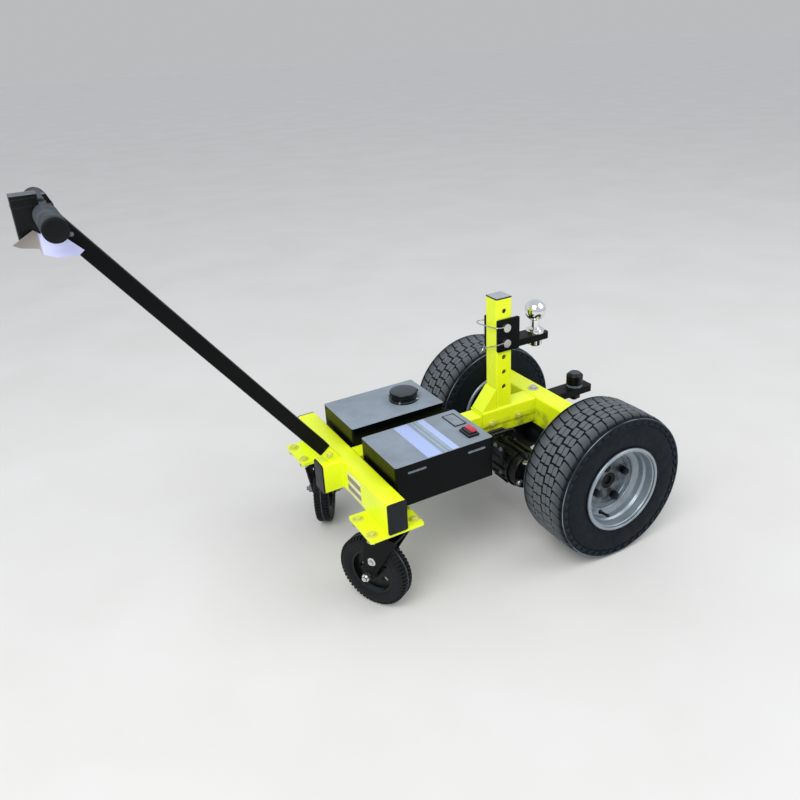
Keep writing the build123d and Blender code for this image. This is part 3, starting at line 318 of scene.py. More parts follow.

# Guard, mill-finished aluminium sheet: rolling lines along its length, its lavender tone a painted reflection
# of the sky, and the wing ahead of the fold painted a warm grey, the shade on that wing
mat, place, colour = finish("rolled_aluminium_sheet", ("BEC1E6", "C9CCEE"), 30, (0.4, 0.55), 2, 0.03,
                            metallic=0.2, stretch=(0.12, 1.0, 1.0))
axes = add(mat, "ShaderNodeSeparateXYZ", {}, Vector=(place, "Object"))
fold = at(GUARD_FOLD, 0, 0).x
ahead_of_fold = add(mat, "ShaderNodeMapRange", {"From Min": fold, "From Max": fold + 0.003},
                    Value=(axes, "X"))
# Painted shade on the wing ahead of the fold
dull = add(mat, "ShaderNodeMix", {"data_type": "RGBA", 7: rgb("9A938D")}, n0=(ahead_of_fold, 0),
           n6=(colour, 2))
feed(mat, dull, 2, "Base Color")
FINISH["sheet"] = mat

# Grips, moulded soft rubber: charcoal grey, their ends painted near black, painted shade with the dark ground
# reflected in them
mat, place, colour = finish("moulded_grip_rubber", ("34393E", "474D53"), 22, (0.5, 0.7), 1.6, 0.1, shine=0.2)
axes = add(mat, "ShaderNodeSeparateXYZ", {}, Vector=(place, "Object"))
outward = add(mat, "ShaderNodeMath", {"operation": "ABSOLUTE"}, n0=(axes, "Y"))
at_end = add(mat, "ShaderNodeMapRange", {"From Min": 0.158, "From Max": 0.172}, Value=(outward, 0))
# Painted shade: the ends near black
ends_shaded = add(mat, "ShaderNodeMix", {"data_type": "RGBA", 7: rgb("050708")}, n0=(at_end, 0), n6=(colour, 2))
feed(mat, ends_shaded, 2, "Base Color")
FINISH["grip"] = mat

# Latch covers, the knob's washer and small studs, zinc casting: satin grey
FINISH["latch"] = finish("satin_zinc_casting", ("5A646C", "737D85"), 10, (0.3, 0.45), 2, 0.05,
                         metallic=0.3)[0]

# Gauge window, clear acrylic: the blank grey dial under it with a sharp gloss
mat = finish("acrylic_gauge_window", ("66717A", "7B8790"), 25, (0.08, 0.16), 12, 0.01)[0]
mat.node_tree.nodes["Principled BSDF"].inputs["Coat Weight"].default_value = 0.6
FINISH["window"] = mat

# Hitch pin bails, spring steel wire with bright zinc: a thin cool gleam
FINISH["wire"] = finish("zinc_spring_wire", ("9EA2A5", "C4C6C7"), 9, (0.25, 0.4), 2, 0.02, metallic=1.0)[0]


def banded(name, base, axis, bands, rough):
    """Printed vinyl: plain bands (from, to in mm along the axis, colour) over a base colour."""
    mat, place, colour = finish(name, base, 30, rough, 9, 0.03)
    axes = add(mat, "ShaderNodeSeparateXYZ", {}, Vector=(place, "Object"))
    below = colour
    for start, end, tint in bands:
        middle, half = (start + end) / 2000, (end - start) / 2000
        inside = add(mat, "ShaderNodeMath", {"operation": "COMPARE", 1: middle, 2: half}, n0=(axes, axis))
        below = add(mat, "ShaderNodeMix", {"data_type": "RGBA", 7: rgb(tint)}, n0=(inside, 0), n6=(below, 2))
    feed(mat, below, 2, "Base Color")
    return mat


# Blank printed vinyl on the left box: two lavender bands beside a grey ruled middle
BOX_BANDS = ((394, 413, "A8BAE2"), (417.5, 419, "A7B2AC"), (424, 425.5, "65707A"),
             (430, 431.5, "A7B2AC"), (436, 437.5, "65707A"), (443, 482, "A2B2DE"))
FINISH["box_label"] = banded("printed_vinyl_lavender", ("8494A6", "8C9CAE"), "X", [
    (AXLE_X * 1000 + start, AXLE_X * 1000 + end, tint) for start, end, tint in BOX_BANDS], (0.25, 0.4))
# Blank printed vinyl on the front tube: pale with two grey-brown bands
FINISH["front_label"] = banded("printed_vinyl_pale", ("DCDFA8", "E2E5B4"), "Z", (
    (271, 285, "8A7C74"), (296, 312, "8A7C74")), (0.3, 0.45))

DRESS = {
    "yellow": ["spine_", "front_cross_tube", "rear_cross_tube", "post", "caster_plate", "tiller_stub",
               "axle_bracket"],
    "black": ["tiller_tube", "ball_mount", "rear_tow_arm", "caster_fork", "caster_race", "head_bracket",
              "handle_bar"],
    "gloss": ["battery_box"],
    "tyre": ["tyre_"],
    "caster": ["caster_tyre"],
    "grip": ["grip_"],
    "silver": ["rim_"],
    "zinc": ["hitch_pin", "caster_axle"],
    "chrome": ["tow_ball"],
    "latch": ["caster_axle_right"],
    "plug": ["front_cross_cap", "rear_cross_cap", "spine_nose_cap"],
    "pale_plug": ["post_cap"],
    "abs": ["battery_", "control_", "charge_gauge", "charging_inlet", "inlet_lid", "rear_tow_ball",
            "caster_rim", "power_switch"],
    "cast": ["gear_housing", "axle_tube", "wheel_hub"],
    "enamel": ["drive_motor"],
    "sheet": ["head_guard"],
}
# Each node takes the finish with the longest start that its name matches
for name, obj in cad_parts.items():
    best = max((len(start), finish_name) for finish_name, starts in DRESS.items() for start in starts
               if name.startswith(start))
    obj.data.materials.clear()
    obj.data.materials.append(FINISH[best[1]])

# Pieces, each modelled in edit mode from a primitive


def only(*objects):
    """Selects just these objects, the first one active."""
    bpy.ops.object.select_all(action="DESELECT")
    for obj in objects:
        obj.select_set(True)
    bpy.context.view_layer.objects.active = objects[0]


def opened(obj, test, kind="FACE"):
    """Opens a piece in edit mode with only the faces or edges selected whose middle and normal
    (for an edge, its direction) pass the test."""
    only(obj)
    bpy.ops.object.mode_set(mode="EDIT")
    bpy.ops.mesh.select_mode(type=kind)
    bpy.ops.mesh.select_all(action="DESELECT")
    mesh = bmesh.from_edit_mesh(obj.data)
    for part in mesh.faces if kind == "FACE" else mesh.edges:
        if kind == "FACE":
            middle, way = part.calc_center_median(), part.normal
        else:
            middle = (part.verts[0].co + part.verts[1].co) / 2
            way = (part.verts[1].co - part.verts[0].co).normalized()
        if test(middle, way):
            part.select_set(True)
    mesh.select_flush_mode()
    bmesh.update_edit_mesh(obj.data)


def closed():
    """Leaves edit mode."""
    bpy.ops.object.mode_set(mode="OBJECT")


def slab(low, high, edge, segments=2):
    """A block between two corners in mm, its edges bevelled by `edge` mm."""
    low, high = at(*low), at(*high)
    bpy.ops.object.select_all(action="DESELECT")
    bpy.ops.mesh.primitive_cube_add(size=1, location=(low + high) / 2, scale=high - low)
    obj = bpy.context.object
    bpy.ops.object.transform_apply()
    opened(obj, lambda middle, way: True, "EDGE")
    bpy.ops.mesh.bevel(offset=edge / 1000, segments=segments, affect="EDGES")
    closed()
    return obj


def turned(stations, sides=96, ring=False):
    """A round piece about the Y axis through the origin, drawn out ring by ring through stations of
    (along, radius) in mm. With `ring` the last station is the first one, and the two are merged."""
    along, radius = stations[0]
    bpy.ops.object.select_all(action="DESELECT")
    bpy.ops.mesh.primitive_circle_add(vertices=sides, radius=radius / 1000, location=(0, along / 1000, 0),
                                      rotation=(math.pi / 2, 0, 0), fill_type="NOTHING" if ring else "NGON")
    obj = bpy.context.object
    bpy.ops.object.transform_apply()
    bpy.ops.object.mode_set(mode="EDIT")
    bpy.ops.mesh.select_mode(type="EDGE" if ring else "FACE")
    bpy.ops.mesh.select_all(action="SELECT")
    for there, wide in stations[1:]:
        bpy.ops.mesh.extrude_region_move(TRANSFORM_OT_translate={"value": (0, (there - along) / 1000, 0)})
        bpy.ops.transform.resize(value=(wide / radius, 1, wide / radius),
                                 center_override=(0, there / 1000, 0))
        along, radius = there, wide
    bpy.ops.mesh.select_all(action="SELECT")
    bpy.ops.mesh.remove_doubles(threshold=0.00002)
    bpy.ops.mesh.normals_make_consistent(inside=False)
    closed()
    return obj


def placed(obj, matrix):
    """Moves a piece there, with its place in its mesh."""
    only(obj)
    obj.matrix_world = matrix
    bpy.ops.object.transform_apply()
    return obj


def own_copy(master, matrix):
    """A copy of a piece with its own mesh, at that place."""
    extra = master.copy()
    extra.data = master.data.copy()
    bpy.context.scene.collection.objects.link(extra)
    return placed(extra, matrix)


def copied(master, matrices):
    """Copies of a piece at those places, joined into one; the master goes."""
    made = [own_copy(master, matrix) for matrix in matrices]
    bpy.data.objects.remove(master)
    only(*made)
    if len(made) > 1:
        bpy.ops.object.join()
    return bpy.context.view_layer.objects.active


def joined(*pieces):
    """The pieces as one."""
    only(*pieces)
    bpy.ops.object.join()
    return pieces[0]


def facing_way(place, way):
    """The matrix that takes a piece made up the Z axis to that place, standing along that way."""
    return Matrix.Translation(place) @ Vector(way).to_track_quat("Z", "Y").to_matrix().to_4x4()


def done(obj, name, dress, body, smooth=35):
    """Names a piece, shades and dresses it, and sets it on its body."""
    obj.name = name
    obj.data.name = name
    only(obj)
    bpy.ops.object.shade_smooth_by_angle(angle=math.radians(smooth))
    obj.data.materials.clear()
    obj.data.materials.append(FINISH[dress])
    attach(obj, body)
    return obj


def hex_bolt(across, height, washer=1.6, wide=0.92):
    """A hexagon head with its chamfer on a washer, standing on the origin; `wide` is the washer's
    radius as a share of the width across flats."""
    bpy.ops.object.select_all(action="DESELECT")
    bpy.ops.mesh.primitive_cylinder_add(vertices=6, radius=across / math.sqrt(3) / 1000, depth=height / 1000,
                                        location=(0, 0, (washer + height / 2) / 1000))
    head = bpy.context.object
    bpy.ops.object.transform_apply()
    opened(head, lambda middle, way: way.z > 0.9)
    bpy.ops.mesh.inset(thickness=across * 0.07 / 1000, depth=across * 0.05 / 1000)
    closed()
    bpy.ops.object.select_all(action="DESELECT")
    bpy.ops.mesh.primitive_cylinder_add(vertices=20, radius=across * wide / 1000, depth=washer / 1000,
                                        location=(0, 0, washer / 2000))
    plate = bpy.context.object
    bpy.ops.object.transform_apply()
    opened(plate, lambda middle, way: way.z > 0.9)
    bpy.ops.mesh.inset(thickness=0.0005, depth=0.0003)
    closed()
    return joined(head, plate)


# Drive tyres: a carcass turned from its section, and lugs copied round it. Square lugs stand in
# staggered rows round the middle and long slanted bars run over the shoulders.
SECTION = [(75.7, 109.0), (75.7, 116.0), (76.8, 122.0), (78.6, 128.0), (79.7, 140.0), (80.0, 157.0),
           (79.8, 169.0), (78.9, 176.0), (76.8, 178.6), (76.4, 186.0), (74.8, 191.5), (71.0, 194.8),
           (64.0, 196.2), (45.0, 197.2), (22.0, 197.9)]
PITCHES = 45
LUG_ROWS = ((9.6, 199.6), (25.4, 199.1))      # across, up
LUG_WIDTH, LUG_LENGTH, LUG_SLANT = 13.6, 23.2, 8.0
# How a bar's outer end is drawn on: out, down, back round the tyre, and how much of its depth is kept
BAR_STEPS = ((11.0, -2.0, 3.0, 1.0), (7.0, -3.4, 2.0, 1.0), (2.9, 0.0, 1.5, 0.631), (1.2, 0.0, 1.0, 0.23))
BAR_SLANT = math.radians(-12)
BAR_HINGE = 0.046             # how far from the tyre's middle a bar is slanted about, in metres
RIB = ((76.0, 190.5), (76.4, 196.8), (77.8, 196.8), (78.4, 190.5))


def around_wheel(obj, count):
    """Copies a lug round the Y axis in its own mesh."""
    opened(obj, lambda middle, way: True)
    bpy.ops.mesh.spin(steps=count - 1, dupli=True, angle=math.tau * (count - 1) / count, center=(0, 0, 0),
                      axis=(0, 1, 0))
    closed()
    return obj


def lug(across, up, width, length, slant, height=6.4, edge=1.4):
    """A bevelled lug on top of the wheel, its length round the tyre."""
    bpy.ops.object.select_all(action="DESELECT")
    bpy.ops.mesh.primitive_cube_add(size=1, location=(0, across / 1000, up / 1000),
                                    rotation=(0, 0, math.radians(slant)),
                                    scale=(length / 1000, width / 1000, height / 1000))
    obj = bpy.context.object
    bpy.ops.object.transform_apply()
    opened(obj, lambda middle, way: middle.z > up / 1000 + height / 2000 - 0.0002 or abs(way.z) > 0.9, "EDGE")
    bpy.ops.mesh.bevel(offset=edge / 1000, segments=1, affect="EDGES")
    closed()
    return obj


def drive_tyre():
    """A drive tyre about the Y axis through the origin."""
    profile = SECTION + [(-a, r) for a, r in reversed(SECTION)] + [SECTION[0]]
    parts = [turned(profile, 120, ring=True)]
    for across, up in LUG_ROWS:
        for turn in (0, 1):
            one = lug(across, up, LUG_WIDTH, LUG_LENGTH, LUG_SLANT)
            if turn:
                placed(one, ABOUT)
            placed(one, Matrix.Rotation(math.tau * 0.5 * turn / PITCHES, 4, "Y"))
            parts.append(around_wheel(one, PITCHES))
    for turn in (0, 1):
        # A bar is a lug whose outer end is drawn over the shoulder, then thinned down the sidewall
        one = lug(47.0, 193.7, 23.0, 23.0, 0.0, height=16.0, edge=1.2)
        for out, down, back, kept in BAR_STEPS:
            end = max(v.co.y for v in one.data.vertices)
            foot = min(v.co.z for v in one.data.vertices if v.co.y > end - 0.0001)
            opened(one, lambda middle, way: way.y > 0.7 and middle.y > end - 0.001)
            bpy.ops.mesh.extrude_region_move(
                TRANSFORM_OT_translate={"value": (back / 1000, out / 1000, down / 1000)})
            bpy.ops.transform.resize(value=(1, 1, kept), center_override=(0, 0, foot))
            closed()
        placed(one, Matrix.Translation((0, BAR_HINGE, 0)) @ Matrix.Rotation(BAR_SLANT, 4, "Z")
               @ Matrix.Translation((0, -BAR_HINGE, 0)))
        if turn:
            placed(one, ABOUT)
        placed(one, Matrix.Rotation(math.tau * 0.25 / PITCHES, 4, "Y"))
        parts.append(around_wheel(one, PITCHES))
    # A thin rib runs round each shoulder
    for sign in (1, -1):
        parts.append(turned([(sign * across, radius) for across, radius in RIB + RIB[:1]], 120, ring=True))
    return joined(*parts)


master = drive_tyre()
for side, sign in (("left", 1), ("right", -1)):
    tyre = own_copy(master, Matrix.Translation((AXLE_X, sign * WHEEL_Y, AXLE_Z)))
    done(tyre, f"turf_tyre_{side}", "tyre", f"drive_wheel_{side}", 30)
    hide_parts(f"tyre_{side}")
    # Rubber valve stem with its cap, leaning out of the rim's well
    stem = turned([(0, 6.5), (3, 5.6), (5, 4.0), (22, 3.4), (22.5, 4.4), (31, 4.4), (32.5, 3.4)], 20)
    lean = Matrix.Rotation(math.radians(8 if sign > 0 else 180 - 8), 4, "X")
    placed(stem, Matrix.Translation(at(39, sign * 322, 129.5)) @ lean)
    done(stem, f"valve_stem_{side}", "abs", f"drive_wheel_{side}")
bpy.data.objects.remove(master)

# Caster tyres: short bars round the tread in two rows
CASTER_SECTION = [(17.0, 62.4), (19.5, 66.0), (20.8, 71.0), (20.9, 80.0), (20.2, 86.0), (18.2, 89.8),
                  (12.0, 92.6), (2.2, 94.0), (1.6, 93.0)]
CASTER_BARS = 56
profile = CASTER_SECTION + [(-a, r) for a, r in reversed(CASTER_SECTION)] + [CASTER_SECTION[0]]
parts = [turned(profile, 72, ring=True)]
for turn in (0, 1):
    one = lug(9.6, 93.6, 12.2, 6.4, 0.0, height=4.8, edge=0.8)
    tip = max(v.co.y for v in one.data.vertices)
    opened(one, lambda middle, way: way.y > 0.7 and middle.y > tip - 0.001)
    bpy.ops.mesh.extrude_region_move(TRANSFORM_OT_translate={"value": (0, 0.0042, -0.0032)})
    closed()
    if turn:
        placed(one, ABOUT)
    placed(one, Matrix.Rotation(math.tau * 0.5 * turn / CASTER_BARS, 4, "Y"))
    parts.append(around_wheel(one, CASTER_BARS))
master = joined(*parts)
for side, sign in (("left", 1), ("right", -1)):
    turn = math.radians(HEADING[side])
    centre = at(CASTER_AHEAD + TRAIL * math.cos(turn), sign * CASTER_ACROSS + TRAIL * math.sin(turn), CASTER_Z)
    stand = Matrix.Translation(centre) @ Matrix.Rotation(turn, 4, "Z")
    tyre = own_copy(master, stand)
    done(tyre, f"treaded_caster_tyre_{side}", "caster", f"caster_wheel_{side}", 30)
    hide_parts(f"caster_tyre_{side}")
    # A pale ring on the tread: a painted highlight
    highlight_ring = turned([(-1.3, 92.8), (-1.0, 95.4), (1.0, 95.4), (1.3, 92.8), (-1.3, 92.8)], 72, ring=True)
    placed(highlight_ring, stand)
    done(highlight_ring, f"caster_mould_line_{side}", "tread_highlight", f"caster_wheel_{side}")
    # Bolt high on the leg that faces out
    along, out = Vector((math.cos(turn), math.sin(turn), 0)), Vector((-math.sin(turn), math.cos(turn), 0))
    spot = centre - 0.0152 * along + 0.034 * out + Vector((0, 0, 0.0475))
    head = placed(hex_bolt(12, 6.0), facing_way(spot, out))
    done(head, f"fork_bolt_{side}", "zinc", f"caster_swivel_{side}")
bpy.data.objects.remove(master)

# Grips: soft rubber with a collar and fine ribs
GRIP_RIBS, RIB_PITCH = 26, 4.8
for side, sign in (("left", 1), ("right", -1)):
    ribs = []
    for i in range(GRIP_RIBS):
        ribs += [(start + RIB_PITCH * i, radius)
                 for start, radius in ((40, 21.6), (41.2, 22.3), (43.4, 22.3), (44.6, 21.6))]
    grip = turned([(27, 20.5), (27.6, 22.4), (33, 22.5), (36, 22.3), (38, 21.6)] + ribs
                  + [(172, 22.3), (175, 22.3), (177.4, 20.6), (178, 18.4), (177.4, 16.8), (176.8, 6.0)], 64)
    facing = Matrix.Identity(4) if sign > 0 else ABOUT
    placed(grip, Matrix.Translation(at(HANDLE_AHEAD, 0, HANDLE_UP)) @ facing)
    done(grip, f"ribbed_grip_{side}", "grip", "chassis")
    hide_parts(f"grip_{side}")


def upright_circle(ahead, across, up, radius, turns):
    """Places on an upright circle, one for each turn in radians, facing away from the middle."""
    way = (0, math.copysign(1, across), 0)
    return [(ahead + radius * math.cos(t), across, up + radius * math.sin(t), way) for t in turns]


# Bolts with washers: width across flats, height, finish, slot, and a row of places, each ahead,
# across, up and the way the head faces
PLATE_HOLES = [(CASTER_AHEAD + a, s * CASTER_ACROSS + b) for s in (1, -1) for a in (-56, 56) for b in (-37, 37)]
CASE_FACE = -90
BOLTS = {
    "plate_bolts": (15, 5.0, "straw", "bright_steel", [(a, b, 255, (0, 0, 1)) for a, b in PLATE_HOLES]),
    "plate_nuts": (15, 6.0, "zinc", "bright_steel", [(a, b, 241, (0, 0, -1)) for a, b in PLATE_HOLES]),
    "sleeve_bolts": (11, 4.5, "straw", "bright_steel",
                     [(a, s * 29, 305, (0, s, 0)) for a in (88, 177) for s in (1, -1)]),
    "stub_bolts": (10, 4.0, "straw", "bright_steel", [(656, s * 14.25, 356, (0, s, 0)) for s in (1, -1)]),
    "cross_bolt": (17, 7.0, "zinc", "bright_steel", [(-3, -22, SPINE_TOP, (0, 0, 1))]),
    "motor_bolts": (10, 5.0, "zinc", "bright_steel",
                    upright_circle(MOTOR_AHEAD, 138, MOTOR_UP, 38, (math.radians(-35), math.radians(145)))),
    "case_bolts": (10, 5.0, "cast", "cast_black",
                   upright_circle(MOTOR_AHEAD, CASE_FACE, MOTOR_UP, 52, (-1.9, -1.1, -0.3, 0.5, 1.3))
                   + upright_circle(0, CASE_FACE, AXLE_Z * 1000, 43, (1.9, 2.7, 3.6, 4.4))),
    "terminal_nuts": (10, 6.0, "zinc", "bright_steel",
                      [(MOTOR_AHEAD + s * 17, 148, 228, (0, 0, 1)) for s in (1, -1)]),
}
for name, (across, height, dress, slot, rows) in BOLTS.items():
    done(copied(hex_bolt(across, height), [facing_way(at(*row[:3]), row[3]) for row in rows]),
         name, dress, "chassis")


def bead(start, end, thick):
    """A weld bead, rippled, between two places and `thick` mm in radius."""
    start, end = at(*start), at(*end)
    length = (end - start).length * 1000
    steps = max(2, int(length / 3.2))
    stations = [(0, thick * 0.5)]
    for i in range(steps):
        stations += [((i + 0.35) * length / steps, thick), ((i + 0.95) * length / steps, thick * 0.8)]
    along = (end - start).to_track_quat("Y", "Z").to_matrix().to_4x4()
    return placed(turned(stations, 8), Matrix.Translation(start) @ along)


# Weld beads where the yellow parts meet
BACK, FRONT = CROSS_TUBE
SEAMS = [((POST[0], s * 25, SPINE_TOP), (POST[1], s * 25, SPINE_TOP)) for s in (1, -1)]
SEAMS += [((POST[0], -25, SPINE_TOP), (POST[0], 25, SPINE_TOP))]
SEAMS += [((FRONT, s * 25, 259), (FRONT, s * 25, 331)) for s in (1, -1)]
SEAMS += [((BACK, s * 25, 269), (BACK, s * 25, 331)) for s in (1, -1)]
SEAMS += [((face, s * 146, 255), (face, s * 262, 255)) for face in CROSS_TUBE for s in (1, -1)]
SEAMS += [((620, s * 14.4, 335), (659, s * 14.4, 335)) for s in (1, -1)]
SEAMS += [((-34, -25, REAR_ARM_TOP), (-34, 25, REAR_ARM_TOP)), ((26, -29, SPINE_TOP), (26, 29, SPINE_TOP)),
          ((207, -28, 337), (207, 28, 337))]
done(joined(*[bead(a, b, 2.6) for a, b in SEAMS]), "frame_welds", "yellow", "chassis", 60)

# Blank labels, thin vinyl with a rounded edge
done(slab((394, 29, 381.9), (482, 203, 382.5), 0.25), "box_label", "box_label", "chassis")
done(slab((628.9, 54, 262), (629.6, 126, 322), 0.25), "front_label", "front_label", "chassis")

# Latch covers on the boxes' outer sides: a low bar with a drawn-in face
latches = []
for sign in (1, -1):
    low, high = sorted((sign * 205.0, sign * 208.2))
    for start in (322, 490):
        cover = slab((start, low, 358.6), (start + 50, high, 363.4), 0.9)
        opened(cover, lambda middle, way: way.y * sign > 0.99)
        bpy.ops.mesh.inset(thickness=0.0009, depth=-0.0007)
        closed()
        latches.append(cover)
done(joined(*latches), "box_latches", "latch", "chassis")

# Gauge: its raised frame on the box, and the clear window inside
rim_frame = slab((313, 46, BOX_TOP), (348, 111, 384.4), 0.8)
opened(rim_frame, lambda middle, way: way.z > 0.99)
bpy.ops.mesh.inset(thickness=0.0014, depth=0)
bpy.ops.mesh.inset(thickness=0.0006, depth=-0.001)
closed()
done(rim_frame, "gauge_frame", "plug", "chassis")
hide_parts("charge_gauge")
done(slab((315, 48, 382.6), (346, 109, 383.9), 0.3), "gauge_window", "window", "chassis")

# Power switch: a tall black housing with its raised collar, and the red rocker tipped to one side
base = slab((320, 135, BOX_TOP), (352, 181, 389), 2.2)
opened(base, lambda middle, way: way.z > 0.99)
bpy.ops.mesh.inset(thickness=0.0025, depth=0)
bpy.ops.mesh.extrude_region_move(TRANSFORM_OT_translate={"value": (0, 0, 0.0045)})
bpy.ops.mesh.inset(thickness=0.0018, depth=-0.002)
closed()
done(base, "switch_housing", "abs", "chassis")
rocker = slab((324.5, 140, 390), (339.5, 176, 395.5), 1.0)
opened(rocker, lambda middle, way: middle.z > at(0, 0, 394).z and middle.x < at(330, 0, 0).x)
bpy.ops.transform.translate(value=(0, 0, 0.0022))
closed()
done(rocker, "red_rocker", "red", "chassis")
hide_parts("power_switch")
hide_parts("power_switch")

# Charging inlet lid: domed, with every second face of its skirt raised, a hinge eye behind and a
# pull tab ahead
INLET = at(INLET_AHEAD, INLET_ACROSS, 0)
LID_SIDES = 72
DOME = [(396.4, 34.0), (396.4, 37.2), (398.0, 38.0), (405.4, 38.0), (407.6, 36.4), (409.3, 31.0),
        (410.2, 18.0), (410.3, 6.0)]


def raised(middle, way):
    """Whether a face of the lid's skirt is one of the raised ones."""
    turn = math.atan2(middle.y - INLET.y, middle.x - INLET.x)
    on_skirt = abs(way.z) < 0.3 and 0.398 < middle.z < 0.4056
    return on_skirt and round(turn / (math.tau / LID_SIDES) - 0.5) % 2 == 0


lid = turned(DOME, LID_SIDES)
placed(lid, Matrix.Translation((INLET.x, INLET.y, 0)) @ UPRIGHT)
opened(lid, raised)
bpy.ops.mesh.extrude_region_shrink_fatten(TRANSFORM_OT_shrink_fatten={"value": -0.0009})
closed()
eye = slab((334, -117, 396.5), (342, -97, 404), 1.6, 3)
tab = slab((411, -116, 397.5), (418, -98, 401.5), 1.4, 3)
cover = joined(lid, eye, tab)
done(cover, "inlet_lid_cover", "abs", "inlet_lid")
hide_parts("inlet_lid")
# The inlet's screws
done(copied(hex_bolt(5.5, 2.2, 0.8),
            [facing_way(at(INLET_AHEAD + 37 * math.cos(t), INLET_ACROSS + 37 * math.sin(t), 386), (0, 0, 1))
             for t in (0.785, 2.356, 3.927, 5.498)]),
     "inlet_screws", "zinc", "chassis")

# Control head: a gasket line under the lid, a rib along each side of its top, and two screws
parts = [slab((1163.5, -22.7, 1049.2), (1212.8, 22.7, 1050.8), 0.5)]
for sign in (1, -1):
    low, high = sorted((sign * 21.6, sign * 22.9))
    parts.append(slab((1169, low, 1063.6), (1208, high, 1065.4), 0.4))
done(joined(*parts), "lid_ribs", "plug", "chassis")
done(copied(hex_bolt(5.0, 2.0, 0.6), [facing_way(at(1123, s * 17, 989), (0, s, 0)) for s in (1, -1)]),
     "head_screws", "latch", "chassis")

# Post plug, thin and slightly domed
plug = slab((POST[0] + 0.5, -24.5, POST_TOP), (POST[1] - 0.5, 24.5, 659.6), 1.4)
opened(plug, lambda middle, way: way.z > 0.99)
bpy.ops.mesh.inset(thickness=0.006, depth=0.0008)
closed()
done(plug, "post_plug", "pale_plug", "chassis")
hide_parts("post_cap")
# Nut on the ball's shank in the black cast finish: painted shade on a zinc nut that sits in shadow under
# the arm; and the pale washer under the rear knob
done(copied(hex_bolt(32.6, 17.0, 0.6, 0.6), [facing_way(at(BALL_AHEAD, 0, BALL_ARM_FOOT), (0, 0, -1))]),
     "shank_nut", "cast", "chassis")
washer = turned([(0, 20.1), (0, 23.0), (0.8, 24.0), (6.6, 24.0), (7.4, 23.0), (7.4, 20.1), (0, 20.1)], 48,
                ring=True)
placed(washer, Matrix.Translation(at(KNOB_AHEAD, 0, REAR_ARM_TOP)) @ UPRIGHT)
done(washer, "knob_washer", "latch", "chassis")

# Hitch pin bails: sprung wire from each pin's head round the front of the post to its tail
bails = []
BAILS = (
    [(134, 36, 581), (150, 38, 582), (166, 36, 584), (170, 8, 581), (170, -24, 577), (168, -52, 573),
     (156, -72, 570), (141, -66, 572), (134, -46, 577), (134, -41, 579)],
    [(134, 36, 538), (150, 38, 538), (164, 34, 534), (170, 12, 526), (172, -12, 512), (171, -32, 494),
     (165, -44, 484), (154, -50, 488), (144, -50, 508), (136, -46, 530), (134, -41, 536)])
for route in BAILS:
    data = bpy.data.curves.new("bail", "CURVE")
    data.dimensions = "3D"
    data.bevel_depth = 0.0016
    data.bevel_resolution = 2
    line = data.splines.new("NURBS")
    line.points.add(len(route) - 1)
    for point, place in zip(line.points, route):
        point.co = (*at(*place), 1)
    line.order_u = 3
    line.use_endpoint_u = True
    wire = bpy.data.objects.new("bail", data)
    bpy.context.scene.collection.objects.link(wire)
    only(wire)
    bpy.ops.object.convert(target="MESH")
    bails.append(bpy.context.object)
done(joined(*bails), "pin_bails", "wire", "chassis")

# Motor: a clamp band and the end bell's lip
motor = Matrix.Translation(at(MOTOR_AHEAD, 0, MOTOR_UP))
band = joined(turned([(22, 54.0), (22, 55.6), (34, 55.6), (34, 54.0), (22, 54.0)], 72, ring=True),
              turned([(108, 54.0), (108, 55.2), (112, 55.2), (112, 50.5), (108, 54.0)], 72, ring=True))
placed(band, motor)
done(band, "motor_bands", "enamel", "chassis")

# Fins round the motor shell
fins = []
for i in range(9):
    turn = math.radians(-60 + 24 * i)
    fin = slab((-2.2, 40, 0), (2.2, 100, 5.5), 0.8, 1)
    placed(fin, Matrix.Translation((-AXLE_X, 0, 0)))
    placed(fin, motor @ Matrix.Rotation(turn, 4, "Y") @ Matrix.Translation((0, 0, 0.0535)))
    fins.append(fin)
done(joined(*fins), "motor_fins", "enamel", "chassis")
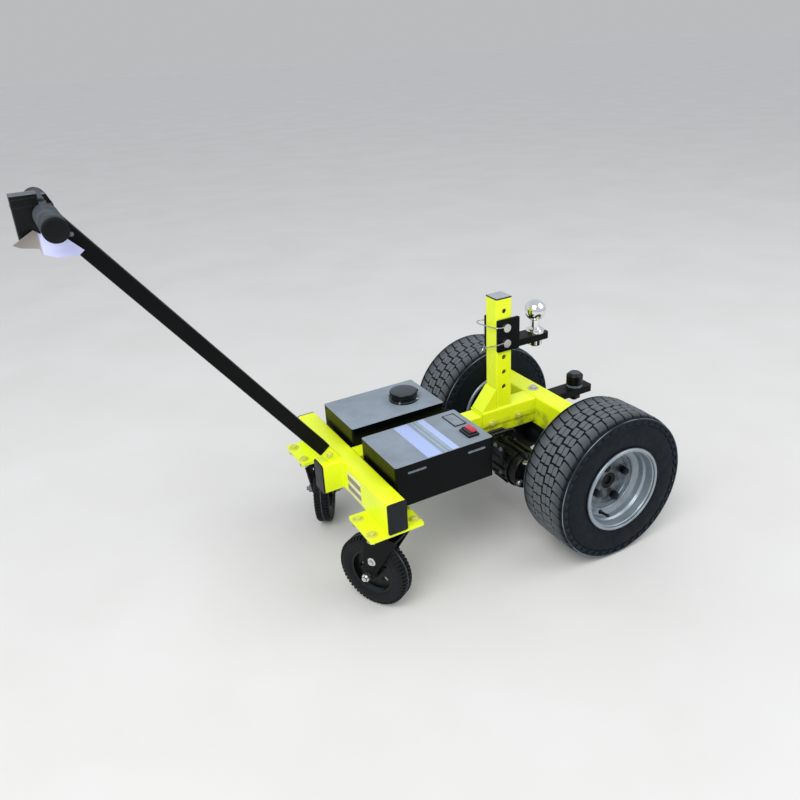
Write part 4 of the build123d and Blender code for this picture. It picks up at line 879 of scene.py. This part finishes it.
# Gear case bracket with a sunk face, and the studs on it
foot = slab((176, 26, 172), (186, 92, 262), 1.5)
opened(foot, lambda middle, way: way.x > 0.99)
bpy.ops.mesh.inset(thickness=0.010, depth=0)
bpy.ops.mesh.inset(thickness=0.003, depth=-0.004)
closed()
done(foot, "gear_case_bracket", "cast", "chassis")
done(copied(hex_bolt(6.5, 4.0), [facing_way(at(186, a, b), (1, 0, 0))
                               for a, b in ((33, 253), (85, 253), (33, 181), (85, 181), (60, 255))]),
     "bracket_studs", "latch", "chassis")

# Stage

bpy.ops.object.select_all(action="DESELECT")
bpy.ops.mesh.primitive_plane_add(size=60, location=(0, 0, 0))
floor = bpy.context.object
floor.name = "floor"
floor.data.materials.append(finish("pale_floor", ("D6D4D0", "DAD8D5"), 400, (0.75, 0.9), 30, 0.05)[0])
floor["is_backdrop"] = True


def lamp(name, place, aim, size, power):
    """A square area lamp turned towards a place."""
    data = bpy.data.lights.new(name, "AREA")
    data.size = size
    data.energy = power
    obj = bpy.data.objects.new(name, data)
    bpy.context.scene.collection.objects.link(obj)
    obj.location = place
    obj.rotation_euler = (Vector(aim) - Vector(place)).to_track_quat("-Z", "Y").to_euler()


lamp("key", (2.5, 2.0, 4.0), (0, 0, 0.3), 3.0, 150)
lamp("fill", (-3.0, 2.5, 3.5), (0, 0, 0.3), 3.5, 70)

# The world lights the object evenly. What the camera sees of it is the tone the floor has far off.
world = bpy.data.worlds.new("studio")
bpy.context.scene.world = world
world.use_nodes = True
sky = world.node_tree.nodes["Background"]
sky.inputs["Color"].default_value = (0.9, 0.94, 1.0, 1)
sky.inputs["Strength"].default_value = 0.75
beyond = world.node_tree.nodes.new("ShaderNodeBackground")
beyond.inputs["Color"].default_value = (0.49, 0.50, 0.512, 1)
rays = world.node_tree.nodes.new("ShaderNodeLightPath")
choice = world.node_tree.nodes.new("ShaderNodeMixShader")
world.node_tree.links.new(rays.outputs["Is Camera Ray"], choice.inputs[0])
world.node_tree.links.new(sky.outputs[0], choice.inputs[1])
world.node_tree.links.new(beyond.outputs[0], choice.inputs[2])
world.node_tree.links.new(choice.outputs[0], world.node_tree.nodes["World Output"].inputs["Surface"])

low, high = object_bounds()
